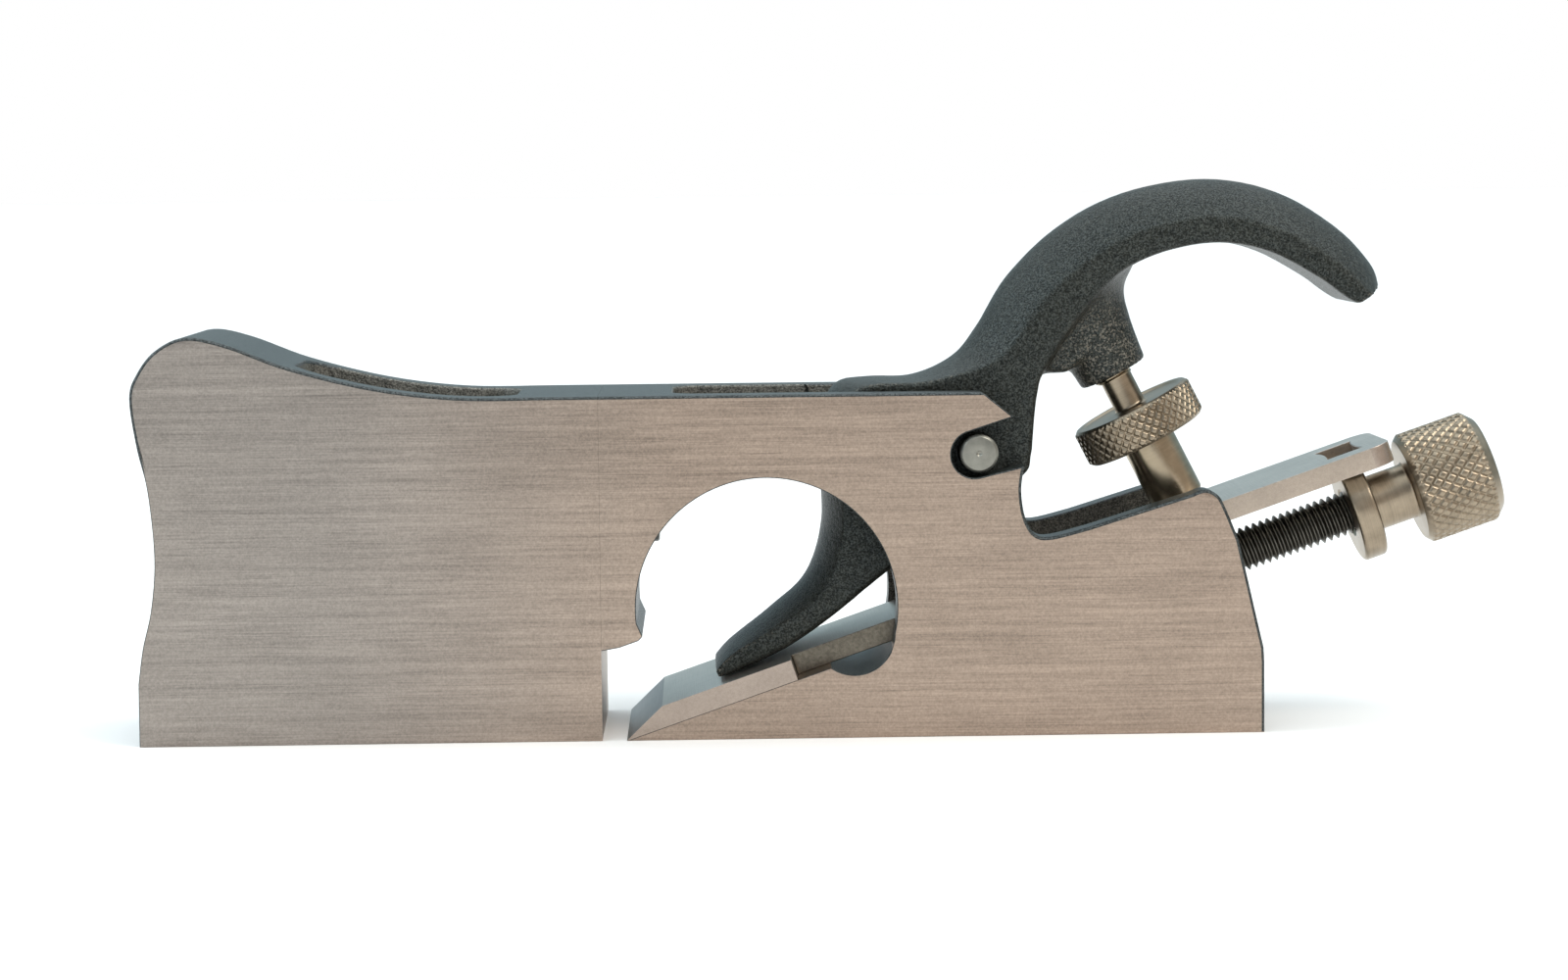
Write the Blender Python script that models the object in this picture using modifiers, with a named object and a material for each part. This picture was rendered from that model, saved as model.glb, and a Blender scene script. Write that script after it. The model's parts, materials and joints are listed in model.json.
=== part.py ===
"""A three-in-one shoulder, bullnose and chisel plane, modelled as the pieces it comes apart into.

Places are given in millimetres: x runs back from the toe's foremost point, z up from the sole and y
across, with 0 on the middle plane. Along the bed, s runs up from the cutting edge and n stands off the
blade's underside. The frame's origin is on the sole, under the middle of the overall length.
"""

import math

import bmesh
import bpy
from mathutils import Matrix, Vector

MM = 0.001
GAP = 0.3
OVERALL_LENGTH = 187.2

# The body, in two castings that meet at the seam.
BODY_WIDTH = 28.6
BODY_LENGTH = 152.0
TOP_HEIGHT = 46.5
SEAM_X = 62.5
CHANNEL_WIDTH = 19.6
POCKET_WIDTH = 19.4
POCKET_FLOOR = 41.2
POCKET_CORNER = 4.0
TOE_POCKET_X = (21.4, 51.2)
BODY_POCKET_X = (72.5, 95.7)
CHANNEL_FRONT_X = 91.2
CLEAR_HEIGHT = 60.0
THROAT_CENTRE = (84.8, 17.7)
THROAT_RADIUS = 17.6
RELIEF_CENTRE = (96.6, 13.9)
RELIEF_RADIUS = 5.4
CHANNEL_START_S = 31.5

# The blade lies bevel up on the bed.
EDGE_X = 65.8
BED_ANGLE = math.radians(19.0)
BEVEL_ANGLE = math.radians(25.0)
BLADE_THICKNESS = 2.85
BLADE_WIDTH = 28.8
BLADE_LENGTH = 111.1
BLADE_HEAD = 24.5
TANG_WIDTH = 18.8
EDGE_LAND = 0.08
FLANGE_SLOT_S = 105.25
FLANGE_SLOT_LENGTH = 5.2
FLANGE_SLOT_WIDTH = 10.4
FLANGE_SLOT_BULGE = 0.5

# The adjuster: a stud in the heel, and the nut whose flange sits in the blade's slot.
ADJUSTER_N = -5.7
STUD_RADIUS = 3.0
STUD_START = 71.0
STUD_END = 118.0
HOLE_RUN_OUT = 0.6
FLANGE_RADIUS = 7.15
FLANGE_THICKNESS = 3.3
NECK_RADIUS = 3.85
KNOB_START = 112.8
KNOB_END = 124.2
KNOB_RADIUS = 7.85
KNOB_CHAMFER = 1.45
KNOB_FRONT_CHAMFER = 0.8
NUT_BORE_END = 120.5

# The lever cap turns on a cross pin that lies in the cheeks' open slots.
PIN = (113.6, 38.2)
PIN_RADIUS = 2.6
PIN_LENGTH = 28.0
PIN_SLOT_END = (112.95, 38.1)
PIN_SLOT_RADIUS = 3.15
PIN_SLOT_UPPER = (118.2, 43.1)
PIN_SLOT_LOWER = (119.8, 36.5)
LEVER_WIDTH = 18.9
LEVER_RECESS_WIDTH = 18.3
LEVER_RECESS_X = 98.8

# The lever screw: the middle of its wheel, and its lean back from upright.
WHEEL = (136.64, 41.3)
SCREW_LEAN = math.radians(27.0)
WHEEL_RADIUS = 8.7
WHEEL_HALF = 2.6
SCREW_RADIUS = 2.95
SCREW_NECK_RADIUS = 2.2
BOSS_END = 7.6
BOSS_RADIUS = 5.0
BOSS_ROOT = 19.0
BOSS_ROOT_RADIUS = 7.4
BOSS_HOLE_END = 21.5
SCREW_TOP = 17.0
UNDERCUT = 1.1
SPIGOT_RADIUS = 1.8
SPIGOT_END = 7.5
FOOT_RADIUS = 3.7
FOOT_END = 12.8
FOOT_DOME = 1.2

# The screw and dowels that hold the toe piece on.
TOE_SCREW_Z = 29.8
TOE_SCREW_RADIUS = 2.5
TOE_SCREW_TIP = 46.0
TOE_HEAD_RADIUS = 4.25
TOE_HEAD_X = (65.4, 70.4)
HEX_FLATS = 4.0
HEX_DEPTH = 2.6
DOWEL_RADIUS = 2.0
DOWEL_Z = 40.5
DOWEL_Y = 8.2
DOWEL_X = (57.8, 67.0)

ALONG_BED = Vector((math.cos(BED_ANGLE), 0.0, math.sin(BED_ANGLE)))
UP_SCREW = Vector((-math.sin(SCREW_LEAN), 0.0, math.cos(SCREW_LEAN)))
BACK = Vector((1.0, 0.0, 0.0))
ACROSS = Vector((0.0, 1.0, 0.0))
UP = Vector((0.0, 0.0, 1.0))

PAINT = ("blue_grey_paint", (0.075, 0.098, 0.1), 0.55, 0.0)
GROUND_IRON = ("ground_cast_iron", (0.43, 0.36, 0.3), 0.38, 1.0)
BLADE_STEEL = ("blade_steel", (0.5, 0.42, 0.36), 0.3, 1.0)
NICKEL = ("satin_nickel", (0.42, 0.36, 0.29), 0.35, 1.0)
BLACK_OXIDE = ("black_oxide", (0.035, 0.032, 0.03), 0.5, 0.9)
BRIGHT_STEEL = ("bright_steel", (0.48, 0.47, 0.42), 0.35, 1.0)


# Places and outlines


def spot(x, z, y=0.0):
    """The world point at x, y and z."""
    return Vector(((x - OVERALL_LENGTH / 2) * MM, y * MM, z * MM))


def on_bed(s, n):
    """x and z of the place s up the bed and n off it."""
    x = EDGE_X + s * math.cos(BED_ANGLE) - n * math.sin(BED_ANGLE)
    return x, s * math.sin(BED_ANGLE) + n * math.cos(BED_ANGLE)


def on_screw(h):
    """x and z of the place h above the middle of the lever screw's wheel, along its axis."""
    return WHEEL[0] + h * UP_SCREW.x, WHEEL[1] + h * UP_SCREW.z


def arc(centre, radius, start, end, step=6.0):
    """Points of an arc from start to end degrees, both included."""
    count = max(2, math.ceil(abs(end - start) / step))
    angles = [math.radians(start + (end - start) * k / count) for k in range(count + 1)]
    return [(centre[0] + radius * math.cos(a), centre[1] + radius * math.sin(a)) for a in angles]


def smooth_run(knots, steps=3):
    """Points of the curve that passes smoothly through the knots; a knot is a tuple of any length."""
    ends = [knots[0], *knots, knots[-1]]
    points = []
    for a, b, c, d in zip(ends, ends[1:], ends[2:], ends[3:]):
        for k in range(steps):
            t = k / steps
            points.append(tuple(spline_value(*values, t) for values in zip(a, b, c, d)))
    return [*points, tuple(knots[-1])]


def spline_value(a, b, c, d, t):
    """A Catmull-Rom curve's value between b and c."""
    bend = 2 * a - 5 * b + 4 * c - d
    twist = 3 * b - a - 3 * c + d
    return b + 0.5 * t * (c - a + t * (bend + t * twist))


def tangent_angle(centre, radius, corner, side):
    """The direction, in degrees, in which a line from the corner touches the circle."""
    dx = corner[0] - centre[0]
    dz = corner[1] - centre[1]
    half = math.acos(radius / math.hypot(dx, dz))
    return math.degrees(math.atan2(dz, dx) + side * half)


def rounded_box(x0, x1, half_width, radius):
    """A plan outline from x0 to x1 with four round corners."""
    corners = [(x1, 1, 0), (x0, 1, 90), (x0, -1, 180), (x1, -1, 270)]
    points = []
    for x, side, start in corners:
        inset = -radius if x == x1 else radius
        points += arc((x + inset, side * (half_width - radius)), radius, start, start + 90, 22.5)
    return points


# Building


def new_scene():
    for obj in list(bpy.data.objects):
        bpy.data.objects.remove(obj)
    collections = []
    for name in ("hand_plane", "cutters"):
        collection = bpy.data.collections.new(name)
        bpy.context.scene.collection.children.link(collection)
        collections.append(collection)
    collections[1].hide_render = True
    return collections


PARTS, CUTTERS = new_scene()


def material(obj, look):
    name, colour, roughness, metallic = look
    made = bpy.data.materials.get(name) or bpy.data.materials.new(name)
    made.use_nodes = True
    shader = made.node_tree.nodes["Principled BSDF"]
    shader.inputs["Base Color"].default_value = (*colour, 1.0)
    shader.inputs["Roughness"].default_value = roughness
    shader.inputs["Metallic"].default_value = metallic
    obj.data.materials.append(made)


def part(obj, look):
    """Files a finished piece with the parts and gives it its material."""
    for collection in obj.users_collection:
        collection.objects.unlink(obj)
    PARTS.objects.link(obj)
    material(obj, look)
    return obj


def helper(obj):
    """Files a cutter, or a lump to be joined on, with the helpers."""
    for collection in obj.users_collection:
        collection.objects.unlink(obj)
    CUTTERS.objects.link(obj)
    obj.hide_render = True
    obj.display_type = "WIRE"
    return obj


def combine(obj, other, operation):
    modifier = obj.modifiers.new(other.name, "BOOLEAN")
    modifier.operation = operation
    modifier.solver = "EXACT"
    modifier.object = helper(other)


def cut(obj, *cutters):
    for cutter in cutters:
        combine(obj, cutter, "DIFFERENCE")


def join(obj, *lumps):
    for lump in lumps:
        combine(obj, lump, "UNION")


def set_origin(obj, point):
    """Moves the object's origin to a world point and leaves its shape where it is."""
    obj.data.transform(Matrix.Translation(-point))
    obj.location = point


def object_from_bmesh(name, shape, matrix):
    bmesh.ops.recalc_face_normals(shape, faces=shape.faces)
    mesh = bpy.data.meshes.new(name)
    shape.to_mesh(mesh)
    shape.free()
    mesh.transform(matrix)
    mesh.shade_smooth()
    mesh.set_sharp_from_angle(angle=math.radians(30))
    obj = bpy.data.objects.new(name, mesh)
    CUTTERS.objects.link(obj)
    return obj


def slab(name, outline, thickness, matrix):
    """A flat outline, in metres, made a solid that is centred on the matrix's own XY plane."""
    curve = bpy.data.curves.new(name, "CURVE")
    curve.dimensions = "2D"
    curve.fill_mode = "BOTH"
    curve.extrude = thickness / 2
    spline = curve.splines.new("POLY")
    spline.points.add(len(outline) - 1)
    for point, (x, y) in zip(spline.points, outline):
        point.co = (x, y, 0.0, 1.0)
    spline.use_cyclic_u = True
    guide = bpy.data.objects.new(name, curve)
    CUTTERS.objects.link(guide)
    graph = bpy.context.evaluated_depsgraph_get()
    mesh = bpy.data.meshes.new_from_object(guide.evaluated_get(graph))
    bpy.data.objects.remove(guide)
    shape = bmesh.new()
    shape.from_mesh(mesh)
    bpy.data.meshes.remove(mesh)
    bmesh.ops.remove_doubles(shape, verts=shape.verts, dist=0.01 * MM)
    return object_from_bmesh(name, shape, matrix)


def side_plate(name, outline, width):
    """A side outline of x and z places, made a solid of this width about the middle plane."""
    flat = [tuple(spot(x, z).xz) for x, z in outline]
    return slab(name, flat, width * MM, Matrix.Rotation(math.radians(90), 4, "X"))


def block(name, outline, low, high):
    """A plan outline of x and y places, made a solid between two heights."""
    flat = [tuple(spot(x, 0.0, y).xy) for x, y in outline]
    lift = Matrix.Translation(UP * (low + high) / 2 * MM)
    return slab(name, flat, (high - low) * MM, lift)


def aimed(point, direction):
    """The matrix that stands local Z along a direction at a point."""
    return Matrix.Translation(point) @ direction.to_track_quat("Z", "Y").to_matrix().to_4x4()


def rod(name, start, direction, length, radius, end_radius=None, sides=32):
    """A cylinder or cone that starts at a world point; lengths in millimetres."""
    shape = bmesh.new()
    top = radius if end_radius is None else end_radius
    bmesh.ops.create_cone(
        shape,
        cap_ends=True,
        segments=sides,
        radius1=radius * MM,
        radius2=top * MM,
        depth=length * MM,
    )
    middle = start + direction * (length / 2 * MM)
    return object_from_bmesh(name, shape, aimed(middle, direction))


def turned(name, profile, point, direction, steps=40):
    """A turned piece: the profile's radii and heights run from its top, down its outer side."""
    mesh = bpy.data.meshes.new(name)
    verts = [(r * MM, 0.0, h * MM) for r, h in profile]
    mesh.from_pydata(verts, [(k, k + 1) for k in range(len(verts) - 1)], [])
    obj = bpy.data.objects.new(name, mesh)
    CUTTERS.objects.link(obj)
    obj.matrix_world = aimed(point, direction)
    screw = obj.modifiers.new("turn", "SCREW")
    screw.steps = steps
    screw.render_steps = steps
    screw.use_merge_vertices = True
    screw.merge_threshold = 0.01 * MM
    screw.use_smooth_shade = True
    return obj


def plain_pin(length, radius, chamfer, dimple=0.0):
    """The profile of a pin about its own middle, with chamfered ends."""
    half = length / 2
    upper = [(0.0, half - dimple), (radius - chamfer, half), (radius, half - chamfer)]
    return [*upper, *[(r, -h) for r, h in reversed(upper)]]


# The toe piece and what holds it


def toe_outline():
    front = smooth_run(
        [
            (0.35, 8.5),
            (1.05, 13.3),
            (2.3, 18.6),
            (2.9, 25.6),
            (2.2, 34.4),
            (0.9, 40.2),
            (0.05, 46.9),
            (1.2, 50.3),
            (3.7, 53.3),
            (7.7, 55.0),
            (13.2, 53.9),
            (21.4, 50.8),
            (32.5, 48.0),
            (43.5, 46.6),
            (55.0, TOP_HEIGHT),
        ]
    )
    rear = SEAM_X - GAP / 2
    return [(0.3, 0.0), *front, (rear, TOP_HEIGHT), (rear, 0.0)]


def toe_piece():
    piece = side_plate("toe_piece", toe_outline(), BODY_WIDTH)
    pocket = rounded_box(*TOE_POCKET_X, POCKET_WIDTH / 2, POCKET_CORNER)
    cut(
        piece,
        block("toe_pocket", pocket, POCKET_FLOOR, CLEAR_HEIGHT),
        screw_hole("toe_screw_hole", TOE_SCREW_TIP - HOLE_RUN_OUT, SEAM_X + 1.0),
        *[dowel_hole(f"toe_dowel_hole_{k}", side) for k, side in enumerate((-1, 1))],
    )
    return part(piece, GROUND_IRON)


def screw_hole(name, start_x, end_x, radius=TOE_SCREW_RADIUS + GAP):
    """A cutter on the toe screw's axis."""
    return rod(name, spot(start_x, TOE_SCREW_Z), BACK, end_x - start_x, radius)


def dowel_hole(name, side):
    start = spot(DOWEL_X[0] - HOLE_RUN_OUT, DOWEL_Z, side * DOWEL_Y)
    length = DOWEL_X[1] - DOWEL_X[0] + 2 * HOLE_RUN_OUT
    return rod(name, start, BACK, length, DOWEL_RADIUS + GAP, sides=20)


def toe_dowels():
    middle = (DOWEL_X[0] + DOWEL_X[1]) / 2
    profile = plain_pin(DOWEL_X[1] - DOWEL_X[0], DOWEL_RADIUS, 0.4)
    for name, side in (("toe_dowel_near", -1), ("toe_dowel_far", 1)):
        dowel = turned(name, profile, spot(middle, DOWEL_Z, side * DOWEL_Y), BACK, 20)
        part(dowel, BRIGHT_STEEL)


def toe_screw():
    """A cap screw that lies along x with its head in the throat."""
    seat = TOE_HEAD_X[0]
    head = TOE_HEAD_X[1] - seat
    tip = TOE_SCREW_TIP - seat
    profile = [
        (0.0, head),
        (TOE_HEAD_RADIUS - 0.5, head),
        (TOE_HEAD_RADIUS, head - 0.5),
        (TOE_HEAD_RADIUS, 0.0),
        (TOE_SCREW_RADIUS, 0.0),
        (TOE_SCREW_RADIUS, tip + 0.6),
        (TOE_SCREW_RADIUS - 0.6, tip),
        (0.0, tip),
    ]
    screw = turned("toe_screw", profile, spot(seat, TOE_SCREW_Z), BACK, 32)
    mouth = spot(TOE_HEAD_X[1] - HEX_DEPTH, TOE_SCREW_Z)
    corner_radius = HEX_FLATS / math.sqrt(3)
    cut(screw, rod("hex_socket", mouth, BACK, HEX_DEPTH + 1.0, corner_radius, sides=6))
    return part(screw, BLACK_OXIDE)


# The main body


def pin_slot():
    """The open slot's outline, from its upper mouth corner round its closed end to the lower one."""
    upper = tangent_angle(PIN_SLOT_END, PIN_SLOT_RADIUS, PIN_SLOT_UPPER, 1)
    lower = tangent_angle(PIN_SLOT_END, PIN_SLOT_RADIUS, PIN_SLOT_LOWER, -1) + 360
    closed_end = arc(PIN_SLOT_END, PIN_SLOT_RADIUS, upper, lower, 15.0)
    return [PIN_SLOT_UPPER, *closed_end, PIN_SLOT_LOWER]


def heel_outline():
    """From below the slot, down the notch, up the trough's edge, round the heel and down to the sole."""
    notch = [(119.5, 35.8), (119.2, 33.0), (119.7, 29.6), (121.0, 27.3), (123.2, 26.9), (128.2, 28.1)]
    corner = [(142.1, 32.4), (144.0, 33.0), (145.7, 32.2), (146.7, 30.5), (148.5, 26.2)]
    return [
        *smooth_run(notch),
        *smooth_run(corner),
        (151.4, 13.6),
        (BODY_LENGTH - 0.1, 11.5),
        (BODY_LENGTH, 9.5),
        (BODY_LENGTH, 0.0),
    ]


def throat_outline():
    """From the sole at the mouth, up the bed, round the relief and the throat, to the arch's lip."""
    bed_front = EDGE_X + GAP / math.sin(BED_ANGLE)
    x, z = RELIEF_CENTRE
    above_bed = z * math.cos(BED_ANGLE) - (x - EDGE_X) * math.sin(BED_ANGLE) + GAP
    half_chord = math.degrees(math.acos(above_bed / RELIEF_RADIUS))
    bed_meets_relief = math.degrees(BED_ANGLE) - 90 - half_chord
    relief_meets_throat = -12.5
    return [
        (bed_front, 0.0),
        *arc(RELIEF_CENTRE, RELIEF_RADIUS, bed_meets_relief, -2.0, 12.0),
        *arc(THROAT_CENTRE, THROAT_RADIUS, relief_meets_throat, 186.0),
        (68.07, 14.1),
        (67.5, 13.5),
        (64.9, 12.6),
        (SEAM_X + GAP / 2, 12.2),
    ]


def main_outline():
    top = [(SEAM_X + GAP / 2, TOP_HEIGHT), (114.0, TOP_HEIGHT)]
    return [*top, *pin_slot(), *heel_outline(), *throat_outline()]


def channel_cutter():
    """The channel between the cheeks, over the bed and open above, from the lever's slot to the heel."""
    outline = [
        on_bed(CHANNEL_START_S, -GAP),
        on_bed(BLADE_LENGTH, -GAP),
        (BODY_LENGTH, CLEAR_HEIGHT),
        (CHANNEL_FRONT_X, CLEAR_HEIGHT),
        (CHANNEL_FRONT_X, THROAT_CENTRE[1] + THROAT_RADIUS - 5.0),
    ]
    return side_plate("channel", outline, CHANNEL_WIDTH)


def stud_hole():
    start = spot(*on_bed(STUD_START - HOLE_RUN_OUT, ADJUSTER_N))
    return rod("stud_hole", start, ALONG_BED, STUD_END - STUD_START, STUD_RADIUS + GAP)


def main_body():
    body = side_plate("main_body", main_outline(), BODY_WIDTH)
    pocket = rounded_box(*BODY_POCKET_X, POCKET_WIDTH / 2, POCKET_CORNER)
    seat = TOE_HEAD_X[0] - GAP
    cut(
        body,
        channel_cutter(),
        block("body_pocket", pocket, POCKET_FLOOR, CLEAR_HEIGHT),
        stud_hole(),
        screw_hole("body_screw_hole", SEAM_X - 1.0, seat + 1.0),
        screw_hole("counterbore", seat, THROAT_CENTRE[0], TOE_HEAD_RADIUS + GAP),
        *[dowel_hole(f"body_dowel_hole_{k}", side) for k, side in enumerate((-1, 1))],
    )
    return part(body, GROUND_IRON)


# The blade and its adjuster


def blade_outline():
    """The T of the blade in s and y, from the middle of its near side round to the far side."""
    head = BLADE_WIDTH / 2
    tang = TANG_WIDTH / 2
    round_end = 3.0
    end = arc((BLADE_LENGTH - round_end, tang - round_end), round_end, 90, 0, 15.0)
    far = [(0.0, head), (BLADE_HEAD, head), (BLADE_HEAD, tang), *end]
    return [*far, *[(s, -y) for s, y in reversed(far)]]


def flange_slot():
    """The slot's outline in s and y, whose two ends bulge into it."""
    half = FLANGE_SLOT_LENGTH / 2
    side = FLANGE_SLOT_WIDTH / 2
    steps = [-1 + 2 * k / 8 for k in range(9)]
    end = [(half - FLANGE_SLOT_BULGE * (1 - t * t), side * t) for t in steps]
    both = [*end, *[(-s, -y) for s, y in end]]
    return [(FLANGE_SLOT_S + s, y) for s, y in both]


def scaled(outline):
    """An outline in millimetres, turned into metres."""
    return [(s * MM, y * MM) for s, y in outline]


def blade():
    lie = Matrix.Rotation(-BED_ANGLE, 4, "Y")
    middle = BLADE_THICKNESS / 2
    place = Matrix.Translation(spot(*on_bed(0.0, middle))) @ lie
    piece = slab("blade", scaled(blade_outline()), BLADE_THICKNESS * MM, place)
    rise = math.tan(BEVEL_ANGLE)
    bevel_end = 2 * BLADE_THICKNESS / rise
    before_edge = -3.0
    ground_off = [
        on_bed(before_edge, EDGE_LAND + before_edge * rise),
        on_bed(bevel_end, EDGE_LAND + bevel_end * rise),
        on_bed(before_edge, 3 * BLADE_THICKNESS),
    ]
    cut(
        piece,
        side_plate("bevel", ground_off, 1.2 * BLADE_WIDTH),
        slab("flange_slot", scaled(flange_slot()), 3 * BLADE_THICKNESS * MM, place),
    )
    return part(piece, BLADE_STEEL)


def adjuster_stud():
    length = STUD_END - STUD_START
    middle = spot(*on_bed((STUD_START + STUD_END) / 2, ADJUSTER_N))
    stud = turned("adjuster_stud", plain_pin(length, STUD_RADIUS, 0.6), middle, ALONG_BED)
    return part(stud, BLACK_OXIDE)


def adjuster_nut():
    """Flange, neck and knob turned from one bar, with a blind thread bored from the flange."""
    front = FLANGE_SLOT_S - FLANGE_THICKNESS / 2
    back = FLANGE_SLOT_S + FLANGE_THICKNESS / 2
    bore = STUD_RADIUS + GAP
    profile = [
        (0.0, KNOB_END),
        (KNOB_RADIUS - KNOB_CHAMFER, KNOB_END),
        (KNOB_RADIUS, KNOB_END - KNOB_CHAMFER),
        (KNOB_RADIUS, KNOB_START + KNOB_FRONT_CHAMFER),
        (KNOB_RADIUS - KNOB_FRONT_CHAMFER, KNOB_START),
        (NECK_RADIUS, KNOB_START),
        (NECK_RADIUS, back),
        (FLANGE_RADIUS - 0.4, back),
        (FLANGE_RADIUS, back - 0.4),
        (FLANGE_RADIUS, front + 0.4),
        (FLANGE_RADIUS - 0.4, front),
        (bore, front),
        (bore, NUT_BORE_END),
        (0.0, NUT_BORE_END),
    ]
    below_seat = [(r, h - FLANGE_SLOT_S) for r, h in profile]
    seat = spot(*on_bed(FLANGE_SLOT_S, ADJUSTER_N))
    return part(turned("adjuster_nut", below_seat, seat, ALONG_BED, 48), NICKEL)


# The lever cap, its pin and its screw


def lever_stations():
    """Outer x and z, inner x and z, and crown height, from the nose up the arm and round to the tip."""
    return [
        (77.7, 9.0, 78.3, 7.7, 0.5),
        (80.0, 11.7, 81.0, 8.6, 0.9),
        (85.5, 16.2, 87.4, 11.5, 1.2),
        (90.4, 20.9, 93.8, 15.8, 1.6),
        (92.65, 28.0, 101.4, 21.9, 1.9),
        (92.5, 36.5, 112.6, 30.0, 1.4),
        (93.0, 43.6, 119.9, 34.7, 1.0),
        (94.9, 47.2, 121.0, 37.4, 1.0),
        (99.0, 47.9, 121.3, 40.2, 1.0),
        (105.2, 48.1, 121.6, 43.6, 1.6),
        (110.9, 50.7, 122.0, 46.2, 3.4),
        (114.3, 54.8, 122.8, 48.6, 4.9),
        (118.5, 61.6, 126.6, 54.4, 5.5),
        (125.6, 68.3, 131.6, 60.6, 5.6),
        (134.5, 72.8, 137.6, 64.3, 5.6),
        (145.7, 74.6, 145.7, 66.0, 5.6),
        (155.6, 72.7, 153.0, 64.9, 5.4),
        (163.8, 67.8, 159.8, 61.4, 4.9),
        (168.4, 62.9, 163.7, 58.6, 4.0),
        (169.5, 59.9, 165.6, 57.5, 2.6),
    ]


def lever_section(station):
    """The ring of points round one section, with a crown on its outer side."""
    outer = Vector(station[0:2])
    inner = Vector(station[2:4])
    height = (outer - inner).length
    crown = min(station[4], 0.6 * height)
    half = LEVER_WIDTH / 2
    bevel = min(0.7, 0.2 * height)
    one_side = [(half - bevel, 0.0), (half, bevel)]
    for k in range(5):
        turn = math.radians(90 * k / 5)
        one_side.append((half * math.cos(turn) ** 0.8, height - crown * (1 - math.sin(turn) ** 0.8)))
    ring = [*one_side, (0.0, height), *[(-y, v) for y, v in reversed(one_side)]]
    along = (outer - inner).normalized()
    return [spot(*(inner + along * v), y) for y, v in ring]


def lever_blank():
    """The lever's casting without its boss: its sections joined and capped."""
    shape = bmesh.new()
    rings = []
    for station in smooth_run(lever_stations(), 2):
        rings.append([shape.verts.new(point) for point in lever_section(station)])
    for one, other in zip(rings, rings[1:]):
        for k, vert in enumerate(one):
            after = (k + 1) % len(one)
            shape.faces.new((vert, one[after], other[after], other[k]))
    shape.faces.new(rings[0])
    shape.faces.new(list(reversed(rings[-1])))
    return object_from_bmesh("lever_cap", shape, Matrix.Identity(4))


def side_recess(name, side):
    """The lever is a little narrower where it passes between the cheeks."""
    outer = side * (LEVER_RECESS_WIDTH / 2 + 3.0)
    inner = side * LEVER_RECESS_WIDTH / 2
    rear = PIN[0] + 12.0
    plan = [(LEVER_RECESS_X, inner), (rear, inner), (rear, outer), (LEVER_RECESS_X, outer)]
    return block(name, plan, 0.0, TOP_HEIGHT)


def lever_cap():
    cap = lever_blank()
    boss_start = spot(*on_screw(BOSS_END))
    boss_length = BOSS_ROOT - BOSS_END
    join(cap, rod("boss", boss_start, UP_SCREW, boss_length, BOSS_RADIUS, BOSS_ROOT_RADIUS))
    hole_start = spot(*on_screw(WHEEL_HALF))
    hole_length = BOSS_HOLE_END - WHEEL_HALF
    pin_hole_start = spot(*PIN, -PIN_LENGTH)
    cut(
        cap,
        rod("boss_hole", hole_start, UP_SCREW, hole_length, SCREW_RADIUS + GAP),
        rod("pin_hole", pin_hole_start, ACROSS, 2 * PIN_LENGTH, PIN_RADIUS + GAP),
        side_recess("near_recess", -1),
        side_recess("far_recess", 1),
    )
    set_origin(cap, spot(*PIN))
    return part(cap, PAINT)


def lever_pin():
    profile = plain_pin(PIN_LENGTH, PIN_RADIUS, 0.35, 0.25)
    return part(turned("lever_pin", profile, spot(*PIN), ACROSS, 32), BRIGHT_STEEL)


def lever_screw():
    """Threaded stem, neck and knurled wheel in one, with a spigot below for the foot."""
    profile = [
        (0.0, SCREW_TOP),
        (SCREW_RADIUS - 0.5, SCREW_TOP),
        (SCREW_RADIUS, SCREW_TOP - 0.5),
        (SCREW_RADIUS, BOSS_END - UNDERCUT / 2),
        (SCREW_NECK_RADIUS, BOSS_END - UNDERCUT),
        (SCREW_NECK_RADIUS, WHEEL_HALF),
        (WHEEL_RADIUS - 0.7, WHEEL_HALF),
        (WHEEL_RADIUS, WHEEL_HALF - 0.6),
        (WHEEL_RADIUS, 0.6 - WHEEL_HALF),
        (WHEEL_RADIUS - 0.7, -WHEEL_HALF),
        (SPIGOT_RADIUS, -WHEEL_HALF),
        (SPIGOT_RADIUS, -SPIGOT_END),
        (0.0, -SPIGOT_END),
    ]
    return part(turned("lever_screw", profile, spot(*WHEEL), UP_SCREW, 48), NICKEL)


def lever_screw_foot():
    """The plain foot that turns freely on the screw and bears on the blade's tang with a domed end."""
    top = -WHEEL_HALF - GAP
    bore = SPIGOT_RADIUS + GAP
    bore_end = -SPIGOT_END - HOLE_RUN_OUT
    quarter = [math.radians(22.5 * k) for k in range(5)]
    dome = [(FOOT_RADIUS * math.cos(a), FOOT_DOME * (1 - math.sin(a)) - FOOT_END) for a in quarter]
    profile = [
        (0.0, bore_end),
        (bore, bore_end),
        (bore, top),
        (FOOT_RADIUS - 0.3, top),
        (FOOT_RADIUS, top - 0.3),
        *dome[:-1],
        (0.0, -FOOT_END),
    ]
    return part(turned("lever_screw_foot", profile, spot(*WHEEL), UP_SCREW, 32), NICKEL)


def hand_plane():
    toe_piece()
    toe_dowels()
    toe_screw()
    main_body()
    blade()
    adjuster_stud()
    adjuster_nut()
    lever_cap()
    lever_pin()
    lever_screw()
    lever_screw_foot()


hand_plane()
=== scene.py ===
"""The finished look of a three-in-one shoulder, bullnose and chisel plane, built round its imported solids.

Places are in millimetres: x runs back from the toe's foremost point, z up from the sole and y across,
with 0 on the middle plane. Along the bed, s runs up from the cutting edge and n stands off the blade's
underside. A turned piece is made about its own axis, with h along it.
"""

import json
import math

import bmesh
import bpy
from mathutils import Matrix, Vector, noise


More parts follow.
